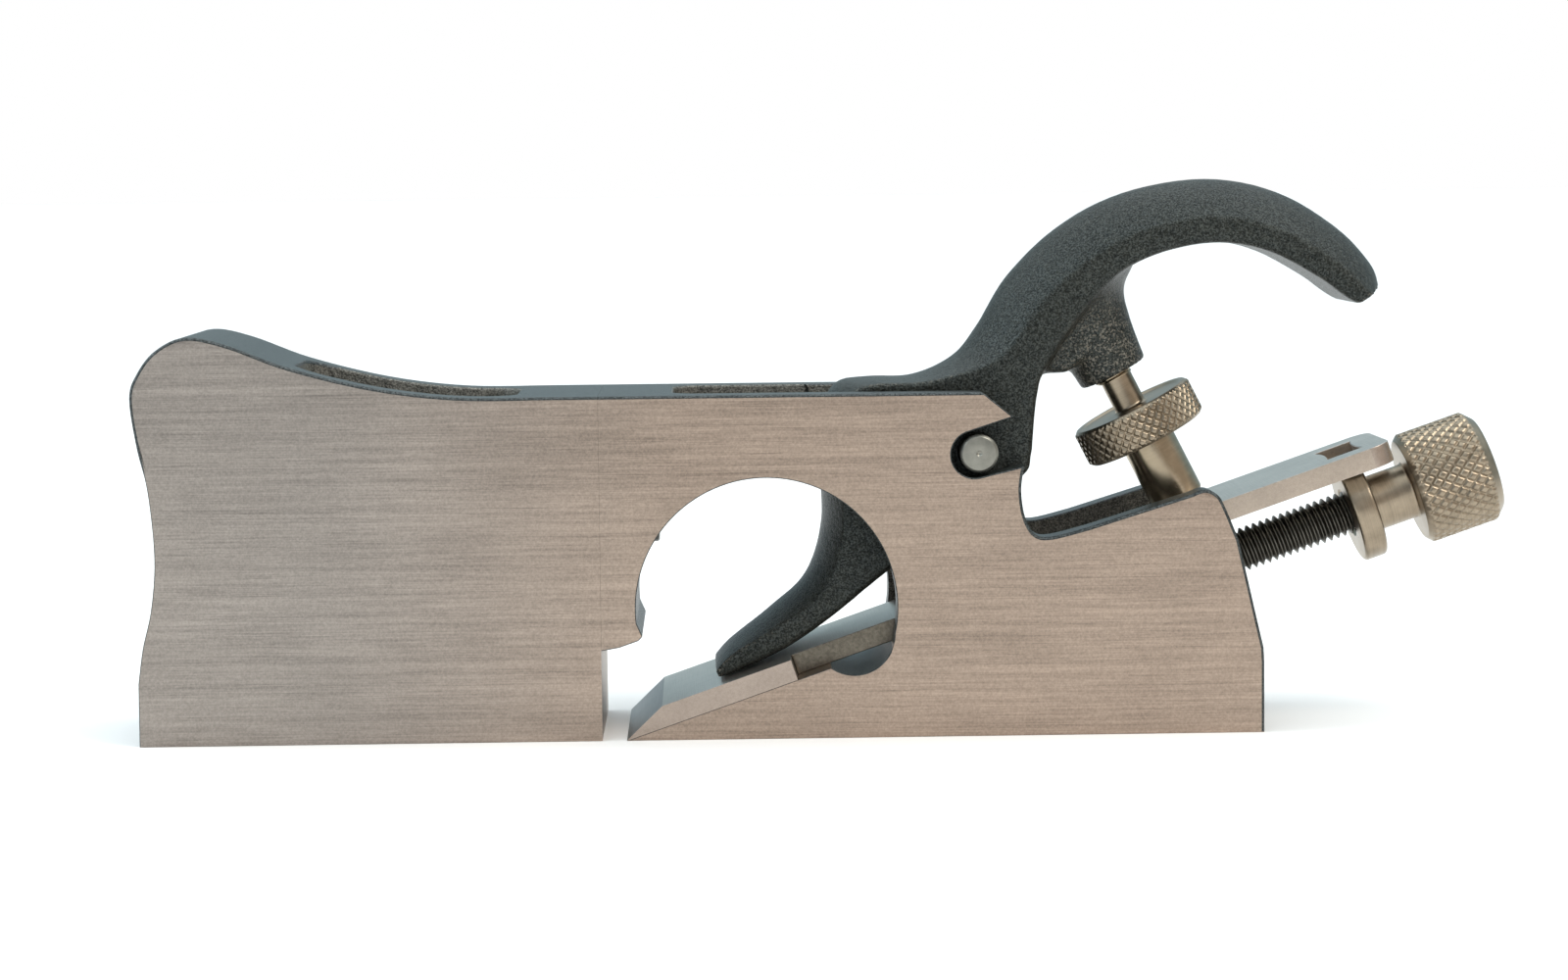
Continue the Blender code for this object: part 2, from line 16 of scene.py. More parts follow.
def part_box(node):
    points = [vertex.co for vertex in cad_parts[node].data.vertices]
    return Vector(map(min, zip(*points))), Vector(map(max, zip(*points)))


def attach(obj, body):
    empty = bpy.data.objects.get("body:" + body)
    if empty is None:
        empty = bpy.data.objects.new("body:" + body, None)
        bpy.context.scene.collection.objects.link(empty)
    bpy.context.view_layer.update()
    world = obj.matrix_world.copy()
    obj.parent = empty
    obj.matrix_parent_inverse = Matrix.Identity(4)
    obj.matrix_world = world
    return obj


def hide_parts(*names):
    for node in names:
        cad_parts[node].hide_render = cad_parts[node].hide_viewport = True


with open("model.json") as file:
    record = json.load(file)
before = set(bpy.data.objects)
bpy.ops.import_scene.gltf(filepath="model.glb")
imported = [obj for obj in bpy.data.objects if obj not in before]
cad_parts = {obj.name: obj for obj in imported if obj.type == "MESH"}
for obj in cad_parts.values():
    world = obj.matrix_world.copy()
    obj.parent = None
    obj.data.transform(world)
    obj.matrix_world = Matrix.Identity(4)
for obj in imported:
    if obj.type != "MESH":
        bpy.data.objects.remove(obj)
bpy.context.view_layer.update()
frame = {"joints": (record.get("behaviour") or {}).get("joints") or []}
JOINTS = {joint["name"]: joint for joint in frame["joints"]}

MM = 0.001
PIN = (113.6, 38.2)
FRONT = JOINTS["lever_pivot"]["pos_m"][0] - PIN[0] * MM
ACROSS = Vector((0.0, 1.0, 0.0))
BACK = Vector((1.0, 0.0, 0.0))
UP = Vector((0.0, 0.0, 1.0))
ALONG_BED = Vector(JOINTS["blade_feed"]["axis"]).normalized()
UP_SCREW = Vector(JOINTS["lever_screw_turn"]["axis"]).normalized()
BED_ANGLE = math.atan2(ALONG_BED.z, ALONG_BED.x)

# The two body castings.
HALF_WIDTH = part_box("main_body")[1].y / MM
BODY_END = (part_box("main_body")[1].x - FRONT) / MM
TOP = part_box("main_body")[1].z / MM
SEAM_X = 62.5
SEAM_GAP = 0.02
CHANNEL_WIDTH = 19.6
CHANNEL_FRONT_X = 91.2
POCKET_WIDTH = 19.4
POCKET_FLOOR = 41.2
TOE_POCKET_X = (21.4, 51.2)
BODY_POCKET_X = (72.5, 95.7)
THROAT_CENTRE = (84.8, 17.7)
THROAT_RADIUS = 17.6
RELIEF_CENTRE = (96.6, 13.9)
RELIEF_RADIUS = 5.4
EDGE_X = 65.8

# How far the casting's painted edges are rounded, and what share of that the other edges get.
CAST_EDGE = 0.42
GROUND_EDGE_SHARE = 0.16
THROAT_EDGE_SHARE = 0.3
PIN_SLOT_EDGE_SHARE = 0.45

# The blade.
BLADE_THICKNESS = 2.85
BLADE_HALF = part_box("blade")[1].y / MM
BLADE_LENGTH = 111.1
BLADE_HEAD = 24.5
TANG_EDGE = 0.13
TANG_HALF = 9.4
BEVEL_ANGLE = math.radians(25.0)
EDGE_LAND = 0.04
FLANGE_SLOT_S = 105.25
FLANGE_SLOT_HALF_LENGTH = 2.6
FLANGE_SLOT_HALF_WIDTH = 5.2
FLANGE_SLOT_WAIST = 0.5

# The adjuster, about its own axis, with h measured from the middle of the nut's flange.
STUD_RADIUS = 3.0
STUD_H = (71.0 - FLANGE_SLOT_S, 118.0 - FLANGE_SLOT_S)
FLANGE_RADIUS = 7.15
FLANGE_HALF = 1.65
NECK_RADIUS = 3.85
KNOB_H = (112.8 - FLANGE_SLOT_S, 124.2 - FLANGE_SLOT_S)
KNOB_RADIUS = 7.85
KNOB_CHAMFER = 1.5
KNOB_FRONT_CHAMFER = 0.8
NUT_BORE_END = 15.3

# The diamond knurls: pitches round and along, a groove's share of a pitch, its depth, and mesh steps.
KNOB_PITCHES = (1.59, 1.92)
WHEEL_PITCHES = (1.46, 1.49)
KNURL_GROOVE = 0.23
KNURL_DEPTH = 0.27
KNURL_STEPS = 12

# The lever cap, its pin and its screw.
PIN_RADIUS = 2.6
PIN_SLOT_END = (112.95, 38.1)
PIN_SLOT_RADIUS = 3.15
LEVER_HALF = 9.45
WHEEL = (136.64, 41.3)
WHEEL_RADIUS = 8.7
WHEEL_HALF = 2.6
SCREW_RADIUS = 2.95
SCREW_NECK_RADIUS = 2.2
BOSS_END = 7.6
SCREW_TOP = 17.0
FOOT_RADIUS = 3.7
FOOT_END = 12.8
SPIGOT_RADIUS = 1.8
SPIGOT_END = 7.5
CROWN_POWER = 2.1
LEVER_VOXEL = 0.34
SAND_ROUGHNESS = 0.02

# What holds the toe piece on.
TOE_SCREW_Z = 29.8
TOE_SCREW_TIP_X = 46.0
TOE_SCREW_HEAD_X = 65.4
TOE_SCREW_RADIUS = 2.5
TOE_SCREW_PITCH = 0.8
TOE_HEAD_RADIUS = 4.25
HEX_ACROSS_FLATS = 4.0
DOWEL_RADIUS = 2.0
DOWEL_LENGTH = 9.2
DOWEL_X = 62.4
DOWEL_Y = 8.2
DOWEL_Z = 40.5
HOLE_SLACK = 0.1

# The iron that shows where paint is rubbed through.
BARE_IRON = (0.27, 0.24, 0.195)

# Angles in degrees: the least that is an edge to round, and the least that shades as a crease.
EDGE_TO_ROUND = 28
ROUNDED_CREASE = 50
TURNED_CREASE = 32
KNURL_CREASE = 26
CAST_CREASE = 40

# The colours that the surroundings shine on each side.
FRONT_LEFT = (0.42, 0.47, 0.52)
FRONT_RIGHT = (0.66, 0.59, 0.52)
BEHIND = (0.42, 0.55, 0.6)
OVERHEAD = (1.62, 1.76, 1.82)
WHITE = (1.0, 1.0, 1.0)

# The floor and the camera: places in metres, the drop and the lens in millimetres, the roll in radians.
FLOOR_RADIUS = 12.0
FLOOR_DROP = 0.02
CAMERA_PLACE = Vector((-0.01616, -0.49855, 0.07584))
CAMERA_TARGET = Vector((-0.0063, -0.0143, 0.03366))
CAMERA_LENS = 83.24
CAMERA_ROLL = -0.01067


# Places and outlines


def spot(x, z, y=0.0):
    """The world point at x, y and z."""
    return Vector((FRONT + x * MM, y * MM, z * MM))


def on_bed(s, n):
    """x and z of the place s up the bed and n off it."""
    x = EDGE_X + s * math.cos(BED_ANGLE) - n * math.sin(BED_ANGLE)
    return x, s * math.sin(BED_ANGLE) + n * math.cos(BED_ANGLE)


def on_screw(h):
    """x and z of the place h above the middle of the lever screw's wheel, along its axis."""
    return WHEEL[0] + h * UP_SCREW.x, WHEEL[1] + h * UP_SCREW.z


def arc(centre, radius, start, end, step=3.0):
    """Points of an arc from start to end degrees, both included."""
    count = max(2, math.ceil(abs(end - start) / step))
    angles = [math.radians(start + (end - start) * k / count) for k in range(count + 1)]
    return [(centre[0] + radius * math.cos(a), centre[1] + radius * math.sin(a)) for a in angles]


def spline_value(a, b, c, d, t):
    """A Catmull-Rom curve's value between b and c."""
    bend = 2 * a - 5 * b + 4 * c - d
    twist = 3 * b - a - 3 * c + d
    return b + 0.5 * t * (c - a + t * (bend + t * twist))


def smooth_run(knots, steps=6):
    """Points of the curve that passes smoothly through the knots; a knot is a tuple of any length."""
    ends = [knots[0], *knots, knots[-1]]
    points = []
    for a, b, c, d in zip(ends, ends[1:], ends[2:], ends[3:]):
        for k in range(steps):
            points.append(tuple(spline_value(*values, k / steps) for values in zip(a, b, c, d)))
    return [*points, tuple(knots[-1])]


def tangent_angle(centre, radius, corner, side):
    """The direction, in degrees, in which a line from the corner touches the circle."""
    dx = corner[0] - centre[0]
    dz = corner[1] - centre[1]
    half = math.acos(radius / math.hypot(dx, dz))
    return math.degrees(math.atan2(dz, dx) + side * half)


def rounded_box(x0, x1, half_width, radius):
    """A plan outline from x0 to x1 with four round corners."""
    points = []
    for x, side, start in ((x1, 1, 0), (x0, 1, 90), (x0, -1, 180), (x1, -1, 270)):
        inset = -radius if x == x1 else radius
        points += arc((x + inset, side * (half_width - radius)), radius, start, start + 90, 9.0)
    return points


def rounded(corners, steps=5):
    """A profile's points. A corner is (r, h), or (r, h, radius) where it is turned into an arc."""
    points = []
    for k, (r, h, *fillet) in enumerate(corners):
        if not fillet:
            points.append((r, h))
            continue
        here = Vector((r, h))
        one = (Vector(corners[k - 1][:2]) - here).normalized()
        other = (Vector(corners[k + 1][:2]) - here).normalized()
        half = one.angle(other) / 2
        centre = here + (one + other).normalized() * fillet[0] / math.sin(half)
        start = here + one * fillet[0] / math.tan(half) - centre
        end = here + other * fillet[0] / math.tan(half) - centre
        sweep = start.angle(end)
        for j in range(steps + 1):
            t = j / steps
            turned = start * math.sin((1 - t) * sweep) + end * math.sin(t * sweep)
            points.append(tuple(centre + turned / math.sin(sweep)))
    return points


# Mesh tools


def mesh_object(name, shape, matrix=None):
    bmesh.ops.recalc_face_normals(shape, faces=shape.faces)
    mesh = bpy.data.meshes.new(name)
    shape.to_mesh(mesh)
    shape.free()
    obj = bpy.data.objects.new(name, mesh)
    bpy.context.scene.collection.objects.link(obj)
    if matrix is not None:
        mesh.transform(matrix)
    return obj


def prism(name, outline, low, high, matrix=None, floor_fillet=0.0):
    """An outline in local X and Y, made a solid from low to high along local Z, all in millimetres."""
    shape = bmesh.new()
    ring = [shape.verts.new((u * MM, v * MM, low * MM)) for u, v in outline]
    base = shape.faces.new(ring)
    made = bmesh.ops.extrude_face_region(shape, geom=[base])["geom"]
    lift = UP * (high - low) * MM
    bmesh.ops.translate(shape, vec=lift, verts=[v for v in made if isinstance(v, bmesh.types.BMVert)])
    if floor_fillet:
        rim = [e for e in shape.edges if all(abs(v.co.z - low * MM) < 1e-7 for v in e.verts)]
        bmesh.ops.bevel(shape, geom=rim, offset=floor_fillet * MM, segments=4, profile=0.5, affect="EDGES")
    return mesh_object(name, shape, matrix)


SIDEWAYS = Matrix(((1, 0, 0, 0), (0, 0, -1, 0), (0, 1, 0, 0), (0, 0, 0, 1)))


def side_plate(name, outline, half_width):
    """A side outline of x and z places, made a solid of this half width about the middle plane."""
    flat = [(FRONT / MM + x, z) for x, z in outline]
    return prism(name, flat, -half_width, half_width, SIDEWAYS)


def block(name, outline, low, high, floor_fillet=0.0):
    """A plan outline of x and y places, made a solid between two heights."""
    flat = [(FRONT / MM + x, y) for x, y in outline]
    return prism(name, flat, low, high, floor_fillet=floor_fillet)


def aimed(point, direction):
    """The matrix that stands local Z along a direction at a point."""
    return Matrix.Translation(point) @ direction.to_track_quat("Z", "Y").to_matrix().to_4x4()


def rod(name, start, direction, length, radius, sides=72):
    """A cylinder that starts at a world point; lengths in millimetres."""
    shape = bmesh.new()
    bmesh.ops.create_cone(
        shape,
        cap_ends=True,
        segments=sides,
        radius1=radius * MM,
        radius2=radius * MM,
        depth=length * MM,
    )
    return mesh_object(name, shape, aimed(start + direction * (length / 2 * MM), direction))


def settle(obj):
    """Applies the object's modifiers."""
    graph = bpy.context.evaluated_depsgraph_get()
    mesh = bpy.data.meshes.new_from_object(obj.evaluated_get(graph))
    obj.modifiers.clear()
    old = obj.data
    obj.data = mesh
    bpy.data.meshes.remove(old)


def combine(obj, others, operation):
    """Cuts the others from the object, or joins them to it, and removes them."""
    for other in others:
        modifier = obj.modifiers.new(other.name, "BOOLEAN")
        modifier.operation = operation
        modifier.solver = "EXACT"
        modifier.object = other
    settle(obj)
    for other in others:
        bpy.data.objects.remove(other)


def soften(obj, width, share, segments=2):
    """Rounds the sharp edges. share(middle, one normal, other normal) gives each its part of the width."""
    shape = bmesh.new()
    shape.from_mesh(obj.data)
    bmesh.ops.dissolve_limit(
        shape, angle_limit=math.radians(0.3), verts=shape.verts, edges=shape.edges
    )
    layer = shape.edges.layers.float.new("bevel_weight_edge")
    for edge in shape.edges:
        if not edge.is_manifold or edge.calc_face_angle() < math.radians(EDGE_TO_ROUND):
            continue
        middle = (edge.verts[0].co + edge.verts[1].co) / 2
        one, other = (face.normal for face in edge.link_faces)
        edge[layer] = share(middle, one, other)
    shape.to_mesh(obj.data)
    shape.free()
    bevel = obj.modifiers.new("edges", "BEVEL")
    bevel.limit_method = "WEIGHT"
    bevel.width = width * MM
    bevel.segments = segments
    bevel.use_clamp_overlap = False
    bevel.miter_outer = "MITER_ARC"
    settle(obj)
    divide(obj)
    smooth(obj, ROUNDED_CREASE)
    weigh = obj.modifiers.new("normals", "WEIGHTED_NORMAL")
    weigh.weight = 100
    weigh.keep_sharp = True
    settle(obj)


def divide(obj):
    """Splits the many-sided faces into well-shaped triangles."""
    shape = bmesh.new()
    shape.from_mesh(obj.data)
    wide = [face for face in shape.faces if len(face.verts) > 4]
    bmesh.ops.triangulate(shape, faces=wide, ngon_method="BEAUTY")
    shape.to_mesh(obj.data)
    shape.free()


def dress(obj, looks, rule=None):
    """Gives the object its materials. rule(face centre, normal) says which of them a face takes."""
    mesh = obj.data
    mesh.materials.clear()
    for look in looks:
        mesh.materials.append(look)
    if rule:
        for face in mesh.polygons:
            face.material_index = rule(face.center, face.normal)


def smooth(obj, angle):
    obj.data.shade_smooth()
    obj.data.set_sharp_from_angle(angle=math.radians(angle))


def fit(obj, node, body):
    """Ties a finished piece to the frame."""
    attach(obj, body)
    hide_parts(node)
    return obj


def lathe(name, profile, columns, limit=None, bulk=0.0):
    """A piece turned about local Z. limit(turn, h) cuts back what stands out past the bulk radius."""
    shape = bmesh.new()
    rows = []
    for r, h in profile:
        if r == 0.0:
            rows.append([shape.verts.new((0.0, 0.0, h * MM))])
            continue
        row = []
        for k in range(columns):
            turn = k / columns
            radius = min(r, limit(turn, h)) if limit and r > bulk else r
            angle = 2 * math.pi * turn
            place = (radius * math.cos(angle), radius * math.sin(angle), h)
            row.append(shape.verts.new(Vector(place) * MM))
        rows.append(row)
    for one, other in zip(rows, rows[1:]):
        for k in range(columns):
            corners = [(one, k), (one, k + 1), (other, k + 1), (other, k)]
            ring = [row[turn % columns % len(row)] for row, turn in corners]
            shape.faces.new(list(dict.fromkeys(ring)))
    return mesh_object(name, shape)


def knurl(radius, round_pitch, long_pitch, start):
    """The number of diamonds round a diamond knurl, and the radius it leaves at a place."""
    count = round(2 * math.pi * radius / round_pitch)

    def groove(phase):
        away = abs(phase - round(phase))
        return max(0.0, 1.0 - away / KNURL_GROOVE)

    def limit(turn, h):
        climb = (h - start) / long_pitch
        cut = max(groove(count * turn + climb), groove(count * turn - climb))
        return radius - KNURL_DEPTH * cut

    return count, limit


def thread(name, radius, pitch, low, high, chamfer=0.6, columns=48):
    """A right-hand V thread about local Z with chamfered, flat ends."""
    depth = 0.6 * pitch
    steps = [(0.0, depth), (0.16, depth), (0.5, 0.0), (0.62, 0.0)]
    turns = math.ceil((high - low) / pitch) + 2
    shape = bmesh.new()
    rows = []
    for turn in range(turns):
        for share, cut in steps:
            row = []
            for k in range(columns + 1):
                h = low + (turn - 1 + share + k / columns) * pitch
                end = max(0.0, chamfer - min(h - low, high - h))
                r = radius - max(cut, end)
                angle = 2 * math.pi * k / columns
                row.append(shape.verts.new(Vector((r * math.cos(angle), r * math.sin(angle), h)) * MM))
            rows.append(row)
    for one, other in zip(rows, rows[1:]):
        for k in range(columns):
            shape.faces.new((one[k], one[k + 1], other[k + 1], other[k]))
    bmesh.ops.remove_doubles(shape, verts=shape.verts, dist=1e-7)
    for height, way in ((low, -1), (high, 1)):
        geom = [*shape.verts, *shape.edges, *shape.faces]
        bmesh.ops.bisect_plane(
            shape, geom=geom, dist=1e-8, plane_co=UP * height * MM, plane_no=UP * way, clear_outer=True
        )
    rims = [e for e in shape.edges if e.is_boundary]
    bmesh.ops.holes_fill(shape, edges=rims, sides=0)
    return mesh_object(name, shape)


# Materials


class Nodes:
    """Builds a material's node tree in millimetres of the piece's own space."""

    def __init__(self, name, roughness, metallic):
        self.material = bpy.data.materials.new(name)
        self.material.use_nodes = True
        self.tree = self.material.node_tree
        self.shader = self.tree.nodes["Principled BSDF"]
        self.shader.inputs["Roughness"].default_value = roughness
        self.shader.inputs["Metallic"].default_value = metallic
        self.place = self.add("ShaderNodeTexCoord").outputs["Object"]

    def add(self, kind, **settings):
        node = self.tree.nodes.new(kind)
        for key, value in settings.items():
            setattr(node, key, value)
        return node

    def join(self, source, target):
        self.tree.links.new(source, target)

    def noise(self, scale, detail=3.0, roughness=0.5, turn=(0.0, 0.0, 0.0), distortion=0.0):
        """Noise with so many features to the millimetre along each axis."""
        mapping = self.add("ShaderNodeMapping")
        mapping.inputs["Rotation"].default_value = turn
        mapping.inputs["Scale"].default_value = [value / MM for value in scale]
        self.join(self.place, mapping.inputs["Vector"])
        texture = self.add("ShaderNodeTexNoise")
        texture.inputs["Scale"].default_value = 1.0
        texture.inputs["Detail"].default_value = detail
        texture.inputs["Roughness"].default_value = roughness
        texture.inputs["Distortion"].default_value = distortion
        self.join(mapping.outputs["Vector"], texture.inputs["Vector"])
        return texture.outputs["Fac"]

    def ramp(self, source, stops):
        """Colours or greys at places along 0 to 1."""
        node = self.add("ShaderNodeValToRGB")
        elements = node.color_ramp.elements
        while len(elements) < len(stops):
            elements.new(0.5)
        for element, (position, value) in zip(elements, stops):
            element.position = position
            element.color = (*value, 1.0) if isinstance(value, tuple) else (value, value, value, 1.0)
        self.join(source, node.inputs["Fac"])
        return node.outputs["Color"]

    def contrast(self, source):
        """The source with its middle part spread over 0 to 1."""
        return self.ramp(source, [(0.3, 0.0), (0.7, 1.0)])

    def along_x(self, start, end):
        """A share that grows smoothly from 0 to 1 between two places, in metres, on the piece's X."""
        axes = self.add("ShaderNodeSeparateXYZ")
        self.join(self.place, axes.inputs["Vector"])
        grade = self.add("ShaderNodeMapRange", interpolation_type="SMOOTHSTEP")
        grade.inputs["From Min"].default_value = start
        grade.inputs["From Max"].default_value = end
        self.join(axes.outputs["X"], grade.inputs["Value"])
        return grade.outputs["Result"]

    def mix(self, one, other, share, blend="MIX"):
        """Blends two colours; the share is a number or a socket."""
        node = self.add("ShaderNodeMix", data_type="RGBA", blend_type=blend)
        for socket, value in ((node.inputs[6], one), (node.inputs[7], other)):
            if isinstance(value, tuple):
                socket.default_value = (*value, 1.0)
            else:
                self.join(value, socket)
        if isinstance(share, float):
            node.inputs[0].default_value = share
        else:
            self.join(share, node.inputs[0])
        return node.outputs[2]

    def value(self, source, low, high):
        """The source's 0 to 1 spread between two numbers."""
        node = self.add("ShaderNodeMapRange")
        node.inputs["To Min"].default_value = low
        node.inputs["To Max"].default_value = high
        self.join(source, node.inputs["Value"])
        return node.outputs["Result"]

    def colour(self, socket):
        self.join(socket, self.shader.inputs["Base Color"])

    def rough(self, socket):
        self.join(socket, self.shader.inputs["Roughness"])

    def bump(self, sources):
        """Stacks heights, each (socket, height in millimetres)."""
        normal = None
        for source, height in sources:
            node = self.add("ShaderNodeBump")
            node.inputs["Distance"].default_value = height * MM
            self.join(source, node.inputs["Height"])
            if normal:
                self.join(normal, node.inputs["Normal"])
            normal = node.outputs["Normal"]
        self.join(normal, self.shader.inputs["Normal"])


def ground_iron(name, light, dark, grey_light, grey_dark):
    """Cast iron off the grinder: fine lines that rise a little to the heel, faint stains, a greyer toe."""
    nodes = Nodes(name, 0.36, 1.0)
    tilt = (0.0, math.radians(1.3), 0.0)
    fine = nodes.noise((0.11, 0.3, 5.5), 5.0, 0.7, tilt)
    broad = nodes.noise((0.03, 0.1, 1.3), 5.0, 0.7, tilt)
    scratch = nodes.noise((0.045, 0.2, 2.6), 2.0, 0.5, tilt)
    grain = nodes.noise((3.4, 3.4, 3.4), 2.0, 0.6)
    stain = nodes.noise((0.05, 0.1, 0.12), 3.0, 0.6)
    lines = nodes.mix(nodes.contrast(fine), nodes.contrast(broad), 0.5)
    speckled = nodes.mix(lines, nodes.contrast(grain), 0.3)
    towards_heel = nodes.along_x(FRONT + 20 * MM, FRONT + 80 * MM)
    lows = nodes.mix(grey_dark, dark, towards_heel)
    highs = nodes.mix(grey_light, light, towards_heel)
    colour = nodes.mix(lows, highs, speckled)
    scored = nodes.ramp(scratch, [(0.27, 0.62), (0.36, 1.0)])
    colour = nodes.mix(colour, scored, 0.55, "MULTIPLY")
    colour = nodes.mix(colour, nodes.ramp(stain, [(0.3, 0.8), (0.62, 1.0)]), 0.6, "MULTIPLY")
    nodes.colour(colour)
    nodes.rough(nodes.value(lines, 0.3, 0.44))
    nodes.bump([(fine, 0.012), (broad, 0.01), (grain, 0.006)])
    nodes.shader.inputs["Anisotropic"].default_value = 0.3
    return nodes.material


def cast_paint(name, light, dark, grain_height, specular=0.5, tint=WHITE):
    """Dark paint over a sand-cast skin, rubbed through in specks where the mesh's "wear" says so."""
    nodes = Nodes(name, 0.42, 0.0)
    skin = nodes.noise((1.3, 1.3, 1.3), 3.0, 0.55)
    grain = nodes.noise((4.2, 4.2, 4.2), 2.0, 0.7)
    wide = nodes.noise((0.12, 0.12, 0.12), 3.0, 0.55)
    speck = nodes.ramp(grain, [(0.42, 0.0), (0.66, 1.0)])
    colour = nodes.mix(dark, light, nodes.mix(speck, nodes.ramp(skin, [(0.3, 0.0), (0.75, 1.0)]), 0.4))
    colour = nodes.mix(colour, nodes.ramp(wide, [(0.3, 0.82), (0.7, 1.0)]), 0.7, "MULTIPLY")
    rubbed = nodes.ramp(nodes.noise((3.0, 3.0, 3.0), 2.0, 0.6), [(0.52, 0.0), (0.62, 1.0)])
    wear = nodes.add("ShaderNodeAttribute", attribute_name="wear").outputs["Fac"]
    nodes.colour(nodes.mix(colour, BARE_IRON, nodes.mix((0.0, 0.0, 0.0), rubbed, wear)))
    nodes.rough(nodes.value(grain, 0.24, 0.52))
    nodes.bump([(skin, 2.2 * grain_height), (grain, 1.6 * grain_height)])
    nodes.join(nodes.value(speck, 0.45 * specular, 1.8 * specular), nodes.shader.inputs["Specular IOR Level"])
    nodes.shader.inputs["Specular Tint"].default_value = (*tint, 1.0)
    return nodes.material


def turned_metal(name, light, dark, roughness, line_height=0.004):
    """A lathe-turned surface: fine rings about local Z, and a faint bloom."""
    nodes = Nodes(name, roughness, 1.0)
    rings = nodes.noise((0.12, 0.12, 9.0), 3.0, 0.6)
    bloom = nodes.noise((0.5, 0.5, 0.4), 4.0, 0.6)
    grain = nodes.noise((6.0, 6.0, 6.0), 2.0, 0.5)
    tone = nodes.mix(nodes.contrast(rings), nodes.contrast(bloom), 0.55)
    nodes.colour(nodes.mix(dark, light, tone))
    nodes.rough(nodes.value(bloom, roughness - 0.09, roughness + 0.12))
    nodes.bump([(rings, line_height), (grain, 0.003)])
    return nodes.material


def ground_blade(name, light, dark, dark_end=0.0):
    """Surface-ground tool steel, its lines running across the blade; darker and mottled up to a given place
    along it.
    """
    nodes = Nodes(name, 0.3, 1.0)
    lines = nodes.noise((7.0, 0.12, 7.0), 3.0, 0.6)
    grain = nodes.noise((2.6, 2.6, 2.6), 3.0, 0.6)
    stain = nodes.noise((0.2, 0.2, 0.2), 4.0, 0.6)
    tone = nodes.mix(nodes.contrast(lines), nodes.contrast(grain), 0.45)
    colour = nodes.mix(dark, light, tone)
    if dark_end:
        # Darker, mottled steel up to the given place, fading out over the next 12 mm.
        mottle = nodes.ramp(grain, [(0.35, 0.0), (0.7, 1.0)])
        darkened = nodes.mix((0.11, 0.098, 0.08), (0.19, 0.168, 0.134), mottle)
        colour = nodes.mix(darkened, colour, nodes.along_x(dark_end * MM, (dark_end + 12) * MM))
    nodes.colour(nodes.mix(colour, nodes.ramp(stain, [(0.3, 0.84), (0.6, 1.0)]), 0.7, "MULTIPLY"))
    nodes.rough(nodes.value(grain, 0.26, 0.4))
    nodes.bump([(lines, 0.006), (grain, 0.004)])
    return nodes.material


GROUND = ground_iron(
    "ground_iron",
    light=(0.575, 0.448, 0.36),
    dark=(0.185, 0.145, 0.116),
    grey_light=(0.485, 0.43, 0.385),
    grey_dark=(0.178, 0.158, 0.142),
)
BODY_PAINT = cast_paint(
    "body_paint",
    light=(0.042, 0.049, 0.045),
    dark=(0.005, 0.007, 0.007),
    grain_height=0.05,
    specular=0.66,
    tint=(0.94, 1.0, 1.04),
)
# Rough cast skin for the walls of the pockets and the trough, far lighter than the body paint: painted light
# that lifts the shade in these recesses.
CAST_SKIN_PAINTED_LIGHT = cast_paint("cast_skin_painted_light", (0.3, 0.285, 0.245), (0.03, 0.031, 0.027), 0.08)
LEVER_PAINT = cast_paint(
    "lever_paint",
    light=(0.045, 0.044, 0.034),
    dark=(0.003, 0.003, 0.002),
    grain_height=0.07,
    specular=0.34,
    tint=(0.84, 1.0, 1.05),
)
NICKEL = turned_metal("satin_nickel", (0.42, 0.345, 0.25), (0.26, 0.21, 0.145), 0.22)
KNURLED_NICKEL = turned_metal("knurled_nickel", (0.38, 0.31, 0.23), (0.21, 0.172, 0.125), 0.3, 0.001)
STEEL = turned_metal("bright_steel", (0.34, 0.33, 0.29), (0.16, 0.16, 0.14), 0.35)
BLACK = turned_metal("black_oxide", (0.15, 0.14, 0.12), (0.06, 0.056, 0.048), 0.36)
BLADE_TOP = ground_blade("blade_top", (0.71, 0.66, 0.61), (0.54, 0.5, 0.455))
BLADE_SIDE = ground_blade("blade_side", (0.46, 0.38, 0.325), (0.33, 0.272, 0.23))
BEVEL_STEEL = ground_blade("blade_bevel", (0.41, 0.375, 0.37), (0.22, 0.205, 0.207))
# The tang's sides are darker and mottled up to 48 mm along from the cutting edge.
TANG_SIDE = ground_blade("tang_side", (0.5, 0.42, 0.35), (0.36, 0.3, 0.25), 48.0)


# The body castings


def cast_rule(centre, normal):
    """0 for a ground face, 1 for a painted one and 2 for the pocket and trough walls: rough cast skin, with
    painted light that lifts the shade in these recesses.
    """
    x = (centre.x - FRONT) / MM
    y = abs(centre.y) / MM
    z = centre.z / MM
    cheek = abs(normal.y) > 0.999 and y > HALF_WIDTH - 0.01
    sole = z < 0.12
    seam = abs(normal.x) > 0.999 and abs(x - SEAM_X) < 0.1
    off_bed = z * math.cos(BED_ANGLE) - (x - EDGE_X) * math.sin(BED_ANGLE)
    bed = abs(off_bed) < 0.08 and z > 0.1 and abs(normal.y) < 0.1
    if cheek or sole or seam or bed:
        return 0
    # The pocket and trough walls take the lightened cast skin: painted light in the recesses.
    walled = y < CHANNEL_WIDTH / 2 + 0.05 and abs(normal.z) < 0.9
    in_pocket = POCKET_FLOOR - 0.1 < z < TOP + 3 and TOE_POCKET_X[0] - 0.1 < x < BODY_POCKET_X[1]
    in_trough = abs(normal.y) > 0.9 and x > CHANNEL_FRONT_X and z > THROAT_CENTRE[1]
    return 2 if walled and (in_pocket or in_trough) else 1


